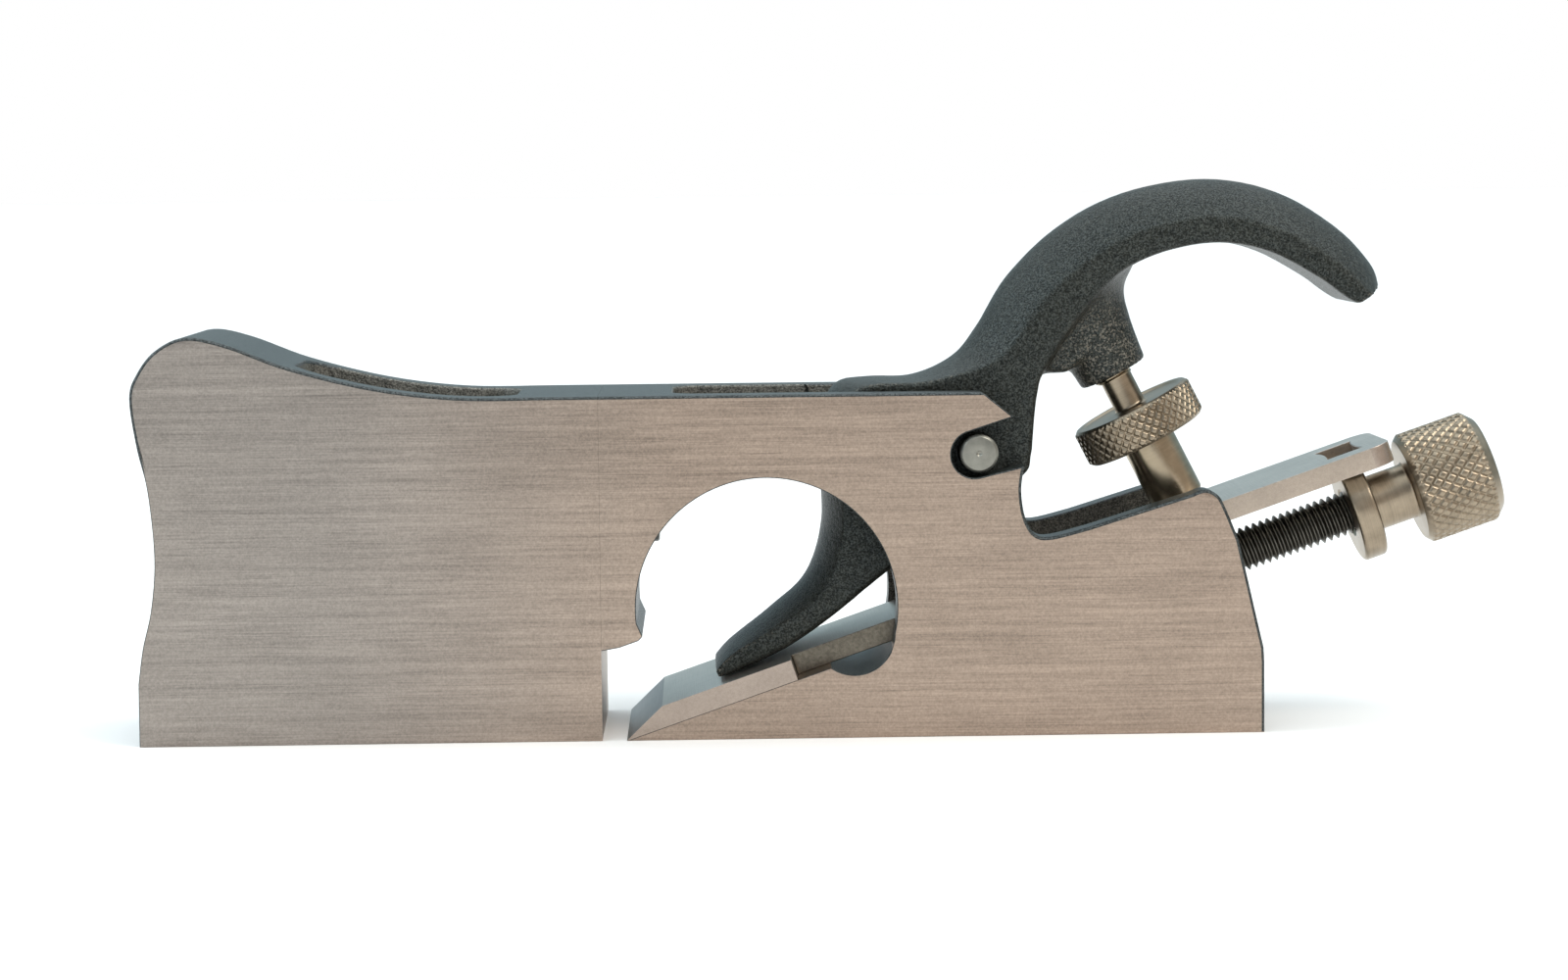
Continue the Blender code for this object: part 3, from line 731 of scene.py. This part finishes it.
def cast_share(middle, one, other):
    """Painted edges are round, ground ones crisp; the seam's two sides stay square."""
    x = (middle.x - FRONT) / MM
    z = middle.z / MM
    painted = [cast_rule(middle, normal) > 0 for normal in (one, other)]
    if abs(x - SEAM_X) < 0.1:
        return 0.0
    if z < 0.1 or not any(painted):
        return GROUND_EDGE_SHARE
    in_throat = x < RELIEF_CENTRE[0] + 6.5 and z < THROAT_CENTRE[1] + THROAT_RADIUS + 0.5
    in_pin_slot = PIN_SLOT_END[0] - 5 < x < PIN_SLOT_END[0] + 5.6 and 34 < z < 45
    if in_throat:
        return THROAT_EDGE_SHARE
    return PIN_SLOT_EDGE_SHARE if in_pin_slot else 1.0


def toe_outline():
    nose = [
        (0.35, 8.5),
        (1.05, 13.3),
        (2.3, 18.6),
        (2.9, 25.6),
        (2.2, 34.4),
        (0.9, 40.2),
        (0.05, 46.9),
        (1.2, 50.3),
        (3.7, 53.3),
        (7.7, 55.0),
        (13.2, 53.9),
        (21.4, 50.8),
        (32.5, 48.0),
        (43.5, 46.6),
        (55.0, TOP),
    ]
    rear = SEAM_X - SEAM_GAP / 2
    return [(0.3, 0.0), *smooth_run(nose), (rear, TOP), (rear, 0.0)]


def dowel_hole(name, start_x, length, y):
    """What the drill takes out for a dowel, along x."""
    return rod(name, spot(start_x, DOWEL_Z, y), BACK, length, DOWEL_RADIUS + HOLE_SLACK)


def toe_casting():
    piece = side_plate("toe_casting", toe_outline(), HALF_WIDTH)
    pocket = rounded_box(*TOE_POCKET_X, POCKET_WIDTH / 2, 4.0)
    screw_hole = spot(44.0, TOE_SCREW_Z)
    cutters = [
        block("toe_pocket", pocket, POCKET_FLOOR, 60.0, floor_fillet=1.4),
        rod("toe_screw_hole", screw_hole, BACK, 20.0, TOE_SCREW_RADIUS + HOLE_SLACK),
        *[dowel_hole("toe_dowel_hole", 57.2, 6.0, y) for y in (-DOWEL_Y, DOWEL_Y)],
    ]
    combine(piece, cutters, "DIFFERENCE")
    soften(piece, CAST_EDGE, cast_share, 3)
    dress(piece, [GROUND, BODY_PAINT, CAST_SKIN_PAINTED_LIGHT], cast_rule)
    return fit(piece, "toe_piece", "toe")


def pin_slot():
    """The open slot's outline, from its upper mouth corner round its closed end to the lower one."""
    upper_mouth = (118.2, 43.1)
    lower_mouth = (119.8, 36.5)
    upper = tangent_angle(PIN_SLOT_END, PIN_SLOT_RADIUS, upper_mouth, 1)
    lower = tangent_angle(PIN_SLOT_END, PIN_SLOT_RADIUS, lower_mouth, -1) + 360
    return [upper_mouth, *arc(PIN_SLOT_END, PIN_SLOT_RADIUS, upper, lower, 7.5), lower_mouth]


def heel_outline():
    """From below the slot, down the notch, up the trough's edge, round the heel and down to the sole."""
    notch = [(119.5, 35.8), (119.2, 33.0), (119.7, 29.6), (121.0, 27.3), (123.2, 26.9), (128.2, 28.1)]
    corner = [(142.1, 32.4), (144.0, 33.0), (145.7, 32.2), (146.7, 30.5), (148.5, 26.2)]
    foot = [(151.4, 13.6), (BODY_END - 0.1, 11.5), (BODY_END, 9.5), (BODY_END, 0.0)]
    return [*smooth_run(notch), *smooth_run(corner), *foot]


def throat_outline():
    """From the sole at the mouth, up the bed, round the relief and the throat, to the arch's lip."""
    bed_drop = 0.02
    x, z = RELIEF_CENTRE
    above_bed = z * math.cos(BED_ANGLE) - (x - EDGE_X) * math.sin(BED_ANGLE) + bed_drop
    half_chord = math.degrees(math.acos(above_bed / RELIEF_RADIUS))
    bed_meets_relief = math.degrees(BED_ANGLE) - 90 - half_chord
    return [
        (EDGE_X + bed_drop / math.sin(BED_ANGLE), 0.0),
        *arc(RELIEF_CENTRE, RELIEF_RADIUS, bed_meets_relief, -2.0, 6.0),
        *arc(THROAT_CENTRE, THROAT_RADIUS, -12.5, 186.0, 2.0),
        (68.07, 14.1),
        (67.5, 13.5),
        (64.9, 12.6),
        (SEAM_X + SEAM_GAP / 2, 12.2),
    ]


def main_outline():
    top = [(SEAM_X + SEAM_GAP / 2, TOP), (114.0, TOP)]
    return [*top, *pin_slot(), *heel_outline(), *throat_outline()]


def body_casting():
    piece = side_plate("body_casting", main_outline(), HALF_WIDTH)
    channel = [
        on_bed(31.5, -0.02),
        on_bed(110.0, -0.02),
        (152.0, 60.0),
        (CHANNEL_FRONT_X, 60.0),
        (CHANNEL_FRONT_X, 30.0),
    ]
    pocket = rounded_box(*BODY_POCKET_X, POCKET_WIDTH / 2, 4.0)
    stud_end = spot(*on_bed(70.4, -5.7))
    cutters = [
        side_plate("channel", channel, CHANNEL_WIDTH / 2),
        block("body_pocket", pocket, POCKET_FLOOR, 60.0, floor_fillet=1.4),
        rod("stud_hole", stud_end, ALONG_BED, 40.0, STUD_RADIUS + 0.05),
        rod("body_screw_hole", spot(60.0, TOE_SCREW_Z), BACK, 6.5, TOE_SCREW_RADIUS + HOLE_SLACK),
        rod("counterbore", spot(65.3, TOE_SCREW_Z), BACK, 12.0, TOE_HEAD_RADIUS + 0.2),
        *[dowel_hole("body_dowel_hole", 60.0, 7.5, y) for y in (-DOWEL_Y, DOWEL_Y)],
    ]
    combine(piece, cutters, "DIFFERENCE")
    soften(piece, CAST_EDGE, cast_share, 3)
    dress(piece, [GROUND, BODY_PAINT, CAST_SKIN_PAINTED_LIGHT], cast_rule)
    return fit(piece, "main_body", "root")


# The blade


def blade_outline():
    """The plan of the blade: s along it and y across it."""
    end = arc((BLADE_LENGTH - 3.0, TANG_HALF - 3.0), 3.0, 90, 0, 6.0)
    inner_corner = arc((BLADE_HEAD + 0.6, TANG_HALF + 0.6), 0.6, 180, 270, 22.5)
    far = [(0.0, BLADE_HALF), (BLADE_HEAD, BLADE_HALF), *inner_corner, *end]
    return [*far, *[(s, -y) for s, y in reversed(far)]]


def flange_slot_outline():
    """The slot for the nut's flange: narrowest in the middle, as it bows in on both long sides."""
    bowed = []
    for k in range(17):
        t = -1 + 2 * k / 16
        bowed.append((FLANGE_SLOT_HALF_LENGTH - FLANGE_SLOT_WAIST * (1 - t * t), FLANGE_SLOT_HALF_WIDTH * t))
    return [(FLANGE_SLOT_S + s, y) for s, y in [*bowed, *[(-s, -y) for s, y in bowed]]]


def bevel_cutter():
    """What the grinder takes off to leave the bevel."""
    rise = math.tan(BEVEL_ANGLE)
    ground_off = [
        on_bed(-3.0, EDGE_LAND - 3.0 * rise),
        on_bed(12.0, EDGE_LAND + 12.0 * rise),
        on_bed(-3.0, 9.0),
    ]
    return side_plate("bevel", ground_off, BLADE_HALF + 2.0)


def up_blade(point):
    """How far up the bed from the cutting edge a point is, in millimetres."""
    return (point - spot(EDGE_X, 0.0)).dot(ALONG_BED) / MM


def blade_share(middle, one, other):
    """The head's edges stay square, as ground; the tang's are rounded."""
    return 0.0 if up_blade(middle) < BLADE_HEAD - 1.0 else 1.0


def blade_rule(centre, normal):
    """0 for the top, underside and end, 1 for the bevel, 2 for the head's sides, 3 for the tang's."""
    bevel_way = Vector((-math.sin(BED_ANGLE + BEVEL_ANGLE), 0.0, math.cos(BED_ANGLE + BEVEL_ANGLE)))
    if normal.dot(bevel_way) > 0.99:
        return 1
    if abs(normal.y) < 0.5:
        return 0
    return 3 if BLADE_HEAD < up_blade(centre) < BLADE_LENGTH - 4 else 2


def blade_piece():
    place = Matrix.Translation(spot(EDGE_X, 0.0)) @ Matrix.Rotation(-BED_ANGLE, 4, "Y")
    piece = prism("blade_iron", blade_outline(), 0.0, BLADE_THICKNESS, place)
    slot = prism("flange_slot", flange_slot_outline(), -2.0, BLADE_THICKNESS + 2.0, place)
    combine(piece, [bevel_cutter(), slot], "DIFFERENCE")
    soften(piece, TANG_EDGE, blade_share)
    dress(piece, [BLADE_TOP, BEVEL_STEEL, BLADE_SIDE, TANG_SIDE], blade_rule)
    piece.data.transform(place.inverted())
    piece.matrix_world = place
    return fit(piece, "blade", "cutter")


# Turned pieces


def place_turned(obj, point, direction, look):
    """Stands a turned piece's axis along a direction, with h = 0 at the point."""
    obj.matrix_world = aimed(point, direction)
    dress(obj, [look])
    smooth(obj, TURNED_CREASE)
    return obj


def hinge_place(name):
    """A joint's point and the direction of its axis."""
    joint = JOINTS[name]
    return Vector(joint["pos_m"]), Vector(joint["axis"]).normalized()


def adjuster_stud():
    stud = thread("adjuster_thread", STUD_RADIUS, 1.0, *STUD_H)
    place_turned(stud, *hinge_place("adjuster_turn"), BLACK)
    return fit(stud, "adjuster_stud", "root")


def adjuster_nut():
    low, high = KNOB_H
    round_pitch, long_pitch = KNOB_PITCHES
    count, limit = knurl(KNOB_RADIUS, round_pitch, long_pitch, low)
    band_low = low + KNOB_FRONT_CHAMFER - 0.3
    band_high = high - KNOB_CHAMFER + 0.3
    rows = round((band_high - band_low) / (long_pitch / KNURL_STEPS))
    band = []
    for k in range(rows + 1):
        h = band_high + (band_low - band_high) * k / rows
        past_end = max(0.0, h - (high - KNOB_CHAMFER), low + KNOB_FRONT_CHAMFER - h)
        band.append((KNOB_RADIUS - past_end, h))
    front = -FLANGE_HALF
    profile = [
        (0.0, high - 0.35),
        *rounded(
            [
                (2.0, high - 0.3),
                (KNOB_RADIUS - KNOB_CHAMFER, high, 0.9),
                band[0],
            ]
        ),
        *band,
        *rounded(
            [
                band[-1],
                (KNOB_RADIUS - KNOB_FRONT_CHAMFER, low, 0.3),
                (NECK_RADIUS, low, 0.4),
                (NECK_RADIUS, FLANGE_HALF, 0.4),
                (FLANGE_RADIUS, FLANGE_HALF, 0.55),
                (FLANGE_RADIUS, front, 0.55),
                (STUD_RADIUS + 0.5, front),
                (STUD_RADIUS + 0.05, front + 0.45),
                (STUD_RADIUS + 0.05, NUT_BORE_END),
                (0.0, NUT_BORE_END),
            ]
        )[1:],
    ]
    nut = lathe("adjuster_nut_turned", profile, count * KNURL_STEPS, limit, KNOB_RADIUS - 0.31)
    place_turned(nut, *hinge_place("adjuster_turn"), KNURLED_NICKEL)
    smooth(nut, KNURL_CREASE)
    return fit(nut, "adjuster_nut", "nut")


def lever_screw_wheel():
    start = -WHEEL_HALF
    round_pitch, long_pitch = WHEEL_PITCHES
    count, limit = knurl(WHEEL_RADIUS, round_pitch, long_pitch, start)
    edge = 0.5
    rows = round((2 * WHEEL_HALF - 2 * edge + 0.5) / (long_pitch / KNURL_STEPS))
    band = []
    for k in range(rows + 1):
        h = (WHEEL_HALF - edge + 0.25) * (1 - 2 * k / rows)
        band.append((WHEEL_RADIUS - max(0.0, abs(h) - (WHEEL_HALF - edge)), h))
    profile = [
        (0.0, BOSS_END + 0.5),
        *rounded(
            [
                (SCREW_NECK_RADIUS, BOSS_END + 0.5),
                (SCREW_NECK_RADIUS, WHEEL_HALF - 0.3, 0.5),
                (WHEEL_RADIUS - 1.6, WHEEL_HALF - 0.3, 0.6),
                (WHEEL_RADIUS - 1.1, WHEEL_HALF, 0.3),
                (WHEEL_RADIUS - edge, WHEEL_HALF, 0.15),
                band[0],
            ]
        ),
        *band[1:],
        *rounded(
            [
                band[-1],
                (WHEEL_RADIUS - edge, -WHEEL_HALF, 0.15),
                (SPIGOT_RADIUS, -WHEEL_HALF),
                (SPIGOT_RADIUS, -SPIGOT_END),
                (0.0, -SPIGOT_END),
            ]
        )[1:],
    ]
    wheel = lathe("lever_screw_wheel", profile, count * KNURL_STEPS, limit, WHEEL_RADIUS - KNURL_DEPTH)
    place_turned(wheel, *hinge_place("lever_screw_turn"), KNURLED_NICKEL)
    smooth(wheel, KNURL_CREASE)
    return fit(wheel, "lever_screw", "thumb_screw")


def lever_screw_stem():
    stem = thread("lever_screw_thread", SCREW_RADIUS, 1.0, BOSS_END - 0.75, SCREW_TOP, 0.4)
    place_turned(stem, *hinge_place("lever_screw_turn"), NICKEL)
    return fit(stem, "lever_screw", "thumb_screw")


def lever_screw_foot():
    top = -WHEEL_HALF - 0.03
    dome_height = 1.2
    socket_radius = SPIGOT_RADIUS + 0.2
    socket_end = -SPIGOT_END - 0.6
    dome = []
    for k in range(10):
        angle = k * math.pi / 20
        dome.append((FOOT_RADIUS * math.cos(angle), -FOOT_END + dome_height * (1 - math.sin(angle))))
    profile = [
        (0.0, socket_end),
        (socket_radius, socket_end),
        (socket_radius, top),
        *rounded([(socket_radius, top), (FOOT_RADIUS, top, 0.3), dome[0]])[1:-1],
        *dome,
        (0.0, -FOOT_END),
    ]
    foot = lathe("thrust_foot_turned", profile, 96)
    place_turned(foot, *hinge_place("lever_screw_turn"), NICKEL)
    return fit(foot, "lever_screw_foot", "thrust_foot")


def lever_pin():
    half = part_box("lever_pin")[1].y / MM
    end = [(0.0, half - 0.28), (0.22, half - 0.22), (0.42, half - 0.02), (PIN_RADIUS - 0.38, half, 0.06)]
    side = [(PIN_RADIUS, half - 0.34, 0.08)]
    upper = [*end, *side]
    lower = [(corner[0], -corner[1], *corner[2:]) for corner in reversed(upper)]
    pin = lathe("lever_pin_turned", rounded([*upper, *lower], 3), 72)
    place_turned(pin, spot(*PIN), ACROSS, STEEL)
    return fit(pin, "lever_pin", "cross_pin")


def toe_dowels():
    half = DOWEL_LENGTH / 2
    profile = rounded([(0.0, half), (DOWEL_RADIUS, half, 0.4), (DOWEL_RADIUS, -half, 0.4), (0.0, -half)])
    for name, y in (("near", -DOWEL_Y), ("far", DOWEL_Y)):
        dowel = lathe(f"toe_dowel_{name}_turned", profile, 48)
        place_turned(dowel, spot(DOWEL_X, DOWEL_Z, y), BACK, STEEL)
        fit(dowel, f"toe_dowel_{name}", "root")


def toe_screw():
    head = [
        (0.0, 5.0),
        (TOE_HEAD_RADIUS, 5.0, 0.4),
        (TOE_HEAD_RADIUS, 0.0, 0.15),
        (2.3, 0.0),
        (2.3, -1.2),
        (0.0, -1.2),
    ]
    cap = lathe("toe_screw_head", rounded(head), 96)
    socket = rod("hex_socket", UP * 2.4 * MM, UP, 4.0, HEX_ACROSS_FLATS / math.sqrt(3), sides=6)
    combine(cap, [socket], "DIFFERENCE")
    under_head = spot(TOE_SCREW_HEAD_X, TOE_SCREW_Z)
    place_turned(cap, under_head, BACK, BLACK)
    fit(cap, "toe_screw", "toe_fixing")

    tip = TOE_SCREW_TIP_X - TOE_SCREW_HEAD_X
    stem = thread("toe_screw_thread", TOE_SCREW_RADIUS, TOE_SCREW_PITCH, tip, -0.6)
    place_turned(stem, under_head, BACK, BLACK)
    fit(stem, "toe_screw", "toe_fixing")


# The lever cap


def lever_stations():
    """Outer x and z, inner x and z, and crown height, from the nose up the arm and round to the tip."""
    return [
        (77.7, 9.0, 78.3, 7.7, 0.5),
        (80.0, 11.7, 81.0, 8.6, 0.9),
        (85.5, 16.2, 87.4, 11.5, 1.9),
        (90.4, 20.9, 93.8, 15.8, 2.9),
        (92.65, 28.0, 101.4, 21.9, 3.2),
        (92.5, 36.5, 112.6, 30.0, 2.6),
        (93.0, 43.6, 119.9, 34.7, 2.4),
        (94.9, 47.2, 121.0, 37.4, 2.4),
        (99.0, 47.9, 121.3, 40.2, 1.4),
        (105.2, 48.1, 121.6, 43.6, 1.6),
        (110.9, 50.7, 122.0, 46.2, 3.4),
        (114.3, 54.8, 122.8, 48.6, 4.9),
        (118.5, 61.6, 126.6, 54.4, 5.5),
        (125.6, 68.3, 131.6, 60.6, 5.6),
        (134.5, 72.8, 137.6, 64.3, 5.6),
        (145.7, 74.6, 145.7, 66.0, 5.6),
        (155.6, 72.7, 153.0, 64.9, 5.4),
        (163.8, 67.8, 159.8, 61.4, 4.9),
        (168.4, 62.9, 163.7, 58.6, 4.0),
        (169.5, 59.9, 165.6, 57.5, 2.6),
    ]


def lever_section(station):
    """The ring of points round one section, with a crown on its outer side."""
    outer = Vector(station[0:2])
    inner = Vector(station[2:4])
    height = (outer - inner).length
    crown = min(station[4], 0.6 * height)
    bevel = min(0.7, 0.2 * height)
    one_side = [(0.5 * LEVER_HALF, 0.0), (LEVER_HALF - bevel, 0.0), (LEVER_HALF, bevel)]
    for k in range(12):
        out = 1 - k / 12
        one_side.append((LEVER_HALF * out, height - crown * out**CROWN_POWER))
    ring = [*one_side, (0.0, height), *[(-y, v) for y, v in reversed(one_side)]]
    along = (outer - inner).normalized()
    return [spot(*(inner + along * v), y) for y, v in ring]


def lever_blank():
    shape = bmesh.new()
    rings = []
    for station in smooth_run(lever_stations(), 6):
        rings.append([shape.verts.new(point) for point in lever_section(station)])
    for one, other in zip(rings, rings[1:]):
        for k, vert in enumerate(one):
            after = (k + 1) % len(one)
            shape.faces.new((vert, one[after], other[after], other[k]))
    shape.faces.new(rings[0])
    shape.faces.new(list(reversed(rings[-1])))
    return mesh_object("lever_casting", shape)


def soften_boss_root(cap):
    """Marks the points where the boss and its web run into the hook, with a share that fades all round."""
    foot = spot(*WHEEL)
    group = cap.vertex_groups.new(name="boss_root")
    for vertex in cap.data.vertices:
        offset = vertex.co - foot
        height = offset.dot(UP_SCREW) / MM
        reach = (offset - UP_SCREW * height * MM).length / MM
        share = min(1.0, (height - 8.4) / 3.0, (23.0 - height) / 3.0, (13.5 - reach) / 3.0)
        if share > 0:
            group.add([vertex.index], share, "REPLACE")


def boss():
    """The round boss for the lever screw, flared where it grows out of the hook."""
    side = [(4.8, 7.6), (5.45, 12.8), (6.1, 16.4), (6.9, 17.9), (8.1, 18.9), (9.2, 19.5), (9.2, 21.5)]
    obj = lathe("boss", [(0.0, side[0][1]), *side, (0.0, side[-1][1])], 64)
    obj.data.transform(aimed(spot(*WHEEL), UP_SCREW))
    return obj


def lever_cap():
    cap = lever_blank()
    web = [(120.5, 48.45), (126.5, 48.3), (131.0, 53.0), (131.0, 60.0), (121.0, 56.0)]
    lumps = [side_plate("web", web, 5.6), boss()]
    combine(cap, lumps, "UNION")
    remesh = cap.modifiers.new("skin", "REMESH")
    remesh.mode = "VOXEL"
    remesh.voxel_size = LEVER_VOXEL * MM
    settle(cap)
    soften_boss_root(cap)
    melt = cap.modifiers.new("melt", "SMOOTH")
    melt.factor = 0.5
    melt.iterations = 2
    fillet = cap.modifiers.new("fillet", "SMOOTH")
    fillet.vertex_group = "boss_root"
    fillet.factor = 0.5
    fillet.iterations = 60
    settle(cap)
    roughen(cap, SAND_ROUGHNESS)
    rub(cap)
    bore_start = spot(*on_screw(WHEEL_HALF))
    cutters = [
        rod("boss_bore", bore_start, UP_SCREW, 18.9, SCREW_RADIUS + 0.08),
        rod("pin_bore", spot(*PIN, -20.0), ACROSS, 40.0, PIN_RADIUS + 0.05),
    ]
    combine(cap, cutters, "DIFFERENCE")
    dress(cap, [LEVER_PAINT])
    smooth(cap, CAST_CREASE)
    return fit(cap, "lever_cap", "lever")


def rub(cap):
    """Stores how far each point is rubbed: the arrises most, then the boss."""
    shape = bmesh.new()
    shape.from_mesh(cap.data)
    layer = shape.verts.layers.float.new("wear")
    middle = spot(*on_screw(11.5))
    for vert in shape.verts:
        ways = [(vert.co - edge.other_vert(vert).co).normalized() for edge in vert.link_edges]
        lean = sum(way.dot(vert.normal) for way in ways) / len(ways)
        arris = (lean - 0.1) / 0.14
        on_boss = 1.05 - 0.09 * (vert.co - middle).length / MM
        vert[layer] = max(0.0, min(0.75, arris), on_boss)
    shape.to_mesh(cap.data)
    shape.free()


def roughen(obj, height):
    """Moves each point a little along its normal, as a sand mould leaves a casting."""
    normals = [vertex.normal.copy() for vertex in obj.data.vertices]
    for vertex, normal in zip(obj.data.vertices, normals):
        place = vertex.co / MM
        wave = noise.noise(place * 0.45) + 0.6 * noise.noise(place * 1.1)
        vertex.co += normal * (height * wave * MM)


# The room


def area_light(name, place, target, size, power, colour):
    data = bpy.data.lights.new(name, "AREA")
    data.shape = "RECTANGLE"
    data.size, data.size_y = size
    data.energy = power
    data.color = colour
    light = bpy.data.objects.new(name, data)
    bpy.context.scene.collection.objects.link(light)
    light.location = place
    light.rotation_euler = (Vector(target) - Vector(place)).to_track_quat("-Z", "Y").to_euler()


def sky():
    """Bright overhead, dimmer all round: cool behind and on the left, warm on the right.

    The camera itself sees plain white.
    """
    world = bpy.data.worlds.new("studio")
    bpy.context.scene.world = world
    world.use_nodes = True
    tree = world.node_tree
    background = tree.nodes["Background"]

    def spread(source, low, high):
        node = tree.nodes.new("ShaderNodeMapRange")
        node.interpolation_type = "SMOOTHSTEP"
        node.inputs["From Min"].default_value = low
        node.inputs["From Max"].default_value = high
        tree.links.new(source, node.inputs["Value"])
        return node.outputs["Result"]

    def blend(one, other, share):
        node = tree.nodes.new("ShaderNodeMix")
        node.data_type = "RGBA"
        for socket, value in ((node.inputs[6], one), (node.inputs[7], other)):
            if isinstance(value, tuple):
                socket.default_value = (*value, 1.0)
            else:
                tree.links.new(value, socket)
        tree.links.new(share, node.inputs[0])
        return node.outputs[2]

    direction = tree.nodes.new("ShaderNodeTexCoord").outputs["Generated"]
    parts = tree.nodes.new("ShaderNodeSeparateXYZ")
    tree.links.new(direction, parts.inputs["Vector"])
    rightward, backward, upward = parts.outputs
    front = blend(FRONT_LEFT, FRONT_RIGHT, spread(rightward, -0.35, 0.45))
    around = blend(front, BEHIND, spread(backward, -0.35, 0.45))
    studio_light = blend(around, OVERHEAD, spread(upward, 0.35, 0.95))
    seen = tree.nodes.new("ShaderNodeLightPath").outputs["Is Camera Ray"]
    tree.links.new(blend(studio_light, WHITE, seen), background.inputs["Color"])


def studio():
    sky()
    area_light(
        "key",
        place=(0.45, -0.35, 0.7),
        target=(0.03, 0.0, 0.03),
        size=(0.35, 0.35),
        power=2.5,
        colour=(1.0, 0.93, 0.84),
    )
    area_light(
        "left",
        place=(-0.8, -0.05, 0.55),
        target=(0.0, 0.0, 0.03),
        size=(0.6, 0.4),
        power=3.5,
        colour=(0.84, 0.95, 1.0),
    )

    shape = bmesh.new()
    bmesh.ops.create_circle(shape, cap_ends=True, segments=96, radius=FLOOR_RADIUS)
    floor = mesh_object("floor", shape, Matrix.Translation(UP * -FLOOR_DROP * MM))
    nodes = Nodes("floor", 0.6, 0.0)
    nodes.shader.inputs["Base Color"].default_value = (0.98, 0.95, 0.93, 1.0)
    dress(floor, [nodes.material])


def camera():
    data = bpy.data.cameras.new("camera")
    data.lens = CAMERA_LENS
    data.sensor_width = 36.0
    data.clip_start = 0.01
    data.clip_end = 60.0
    obj = bpy.data.objects.new("camera", data)
    bpy.context.scene.collection.objects.link(obj)
    look = aimed(CAMERA_PLACE, CAMERA_PLACE - CAMERA_TARGET)
    obj.matrix_world = look @ Matrix.Rotation(CAMERA_ROLL, 4, "Z")
    bpy.context.scene.camera = obj


def main():
    bpy.context.scene.view_settings.view_transform = "Standard"
    camera()
    studio()
    toe_casting()
    body_casting()
    blade_piece()
    adjuster_stud()
    adjuster_nut()
    lever_pin()
    lever_cap()
    lever_screw_wheel()
    lever_screw_stem()
    lever_screw_foot()
    toe_dowels()
    toe_screw()


main()
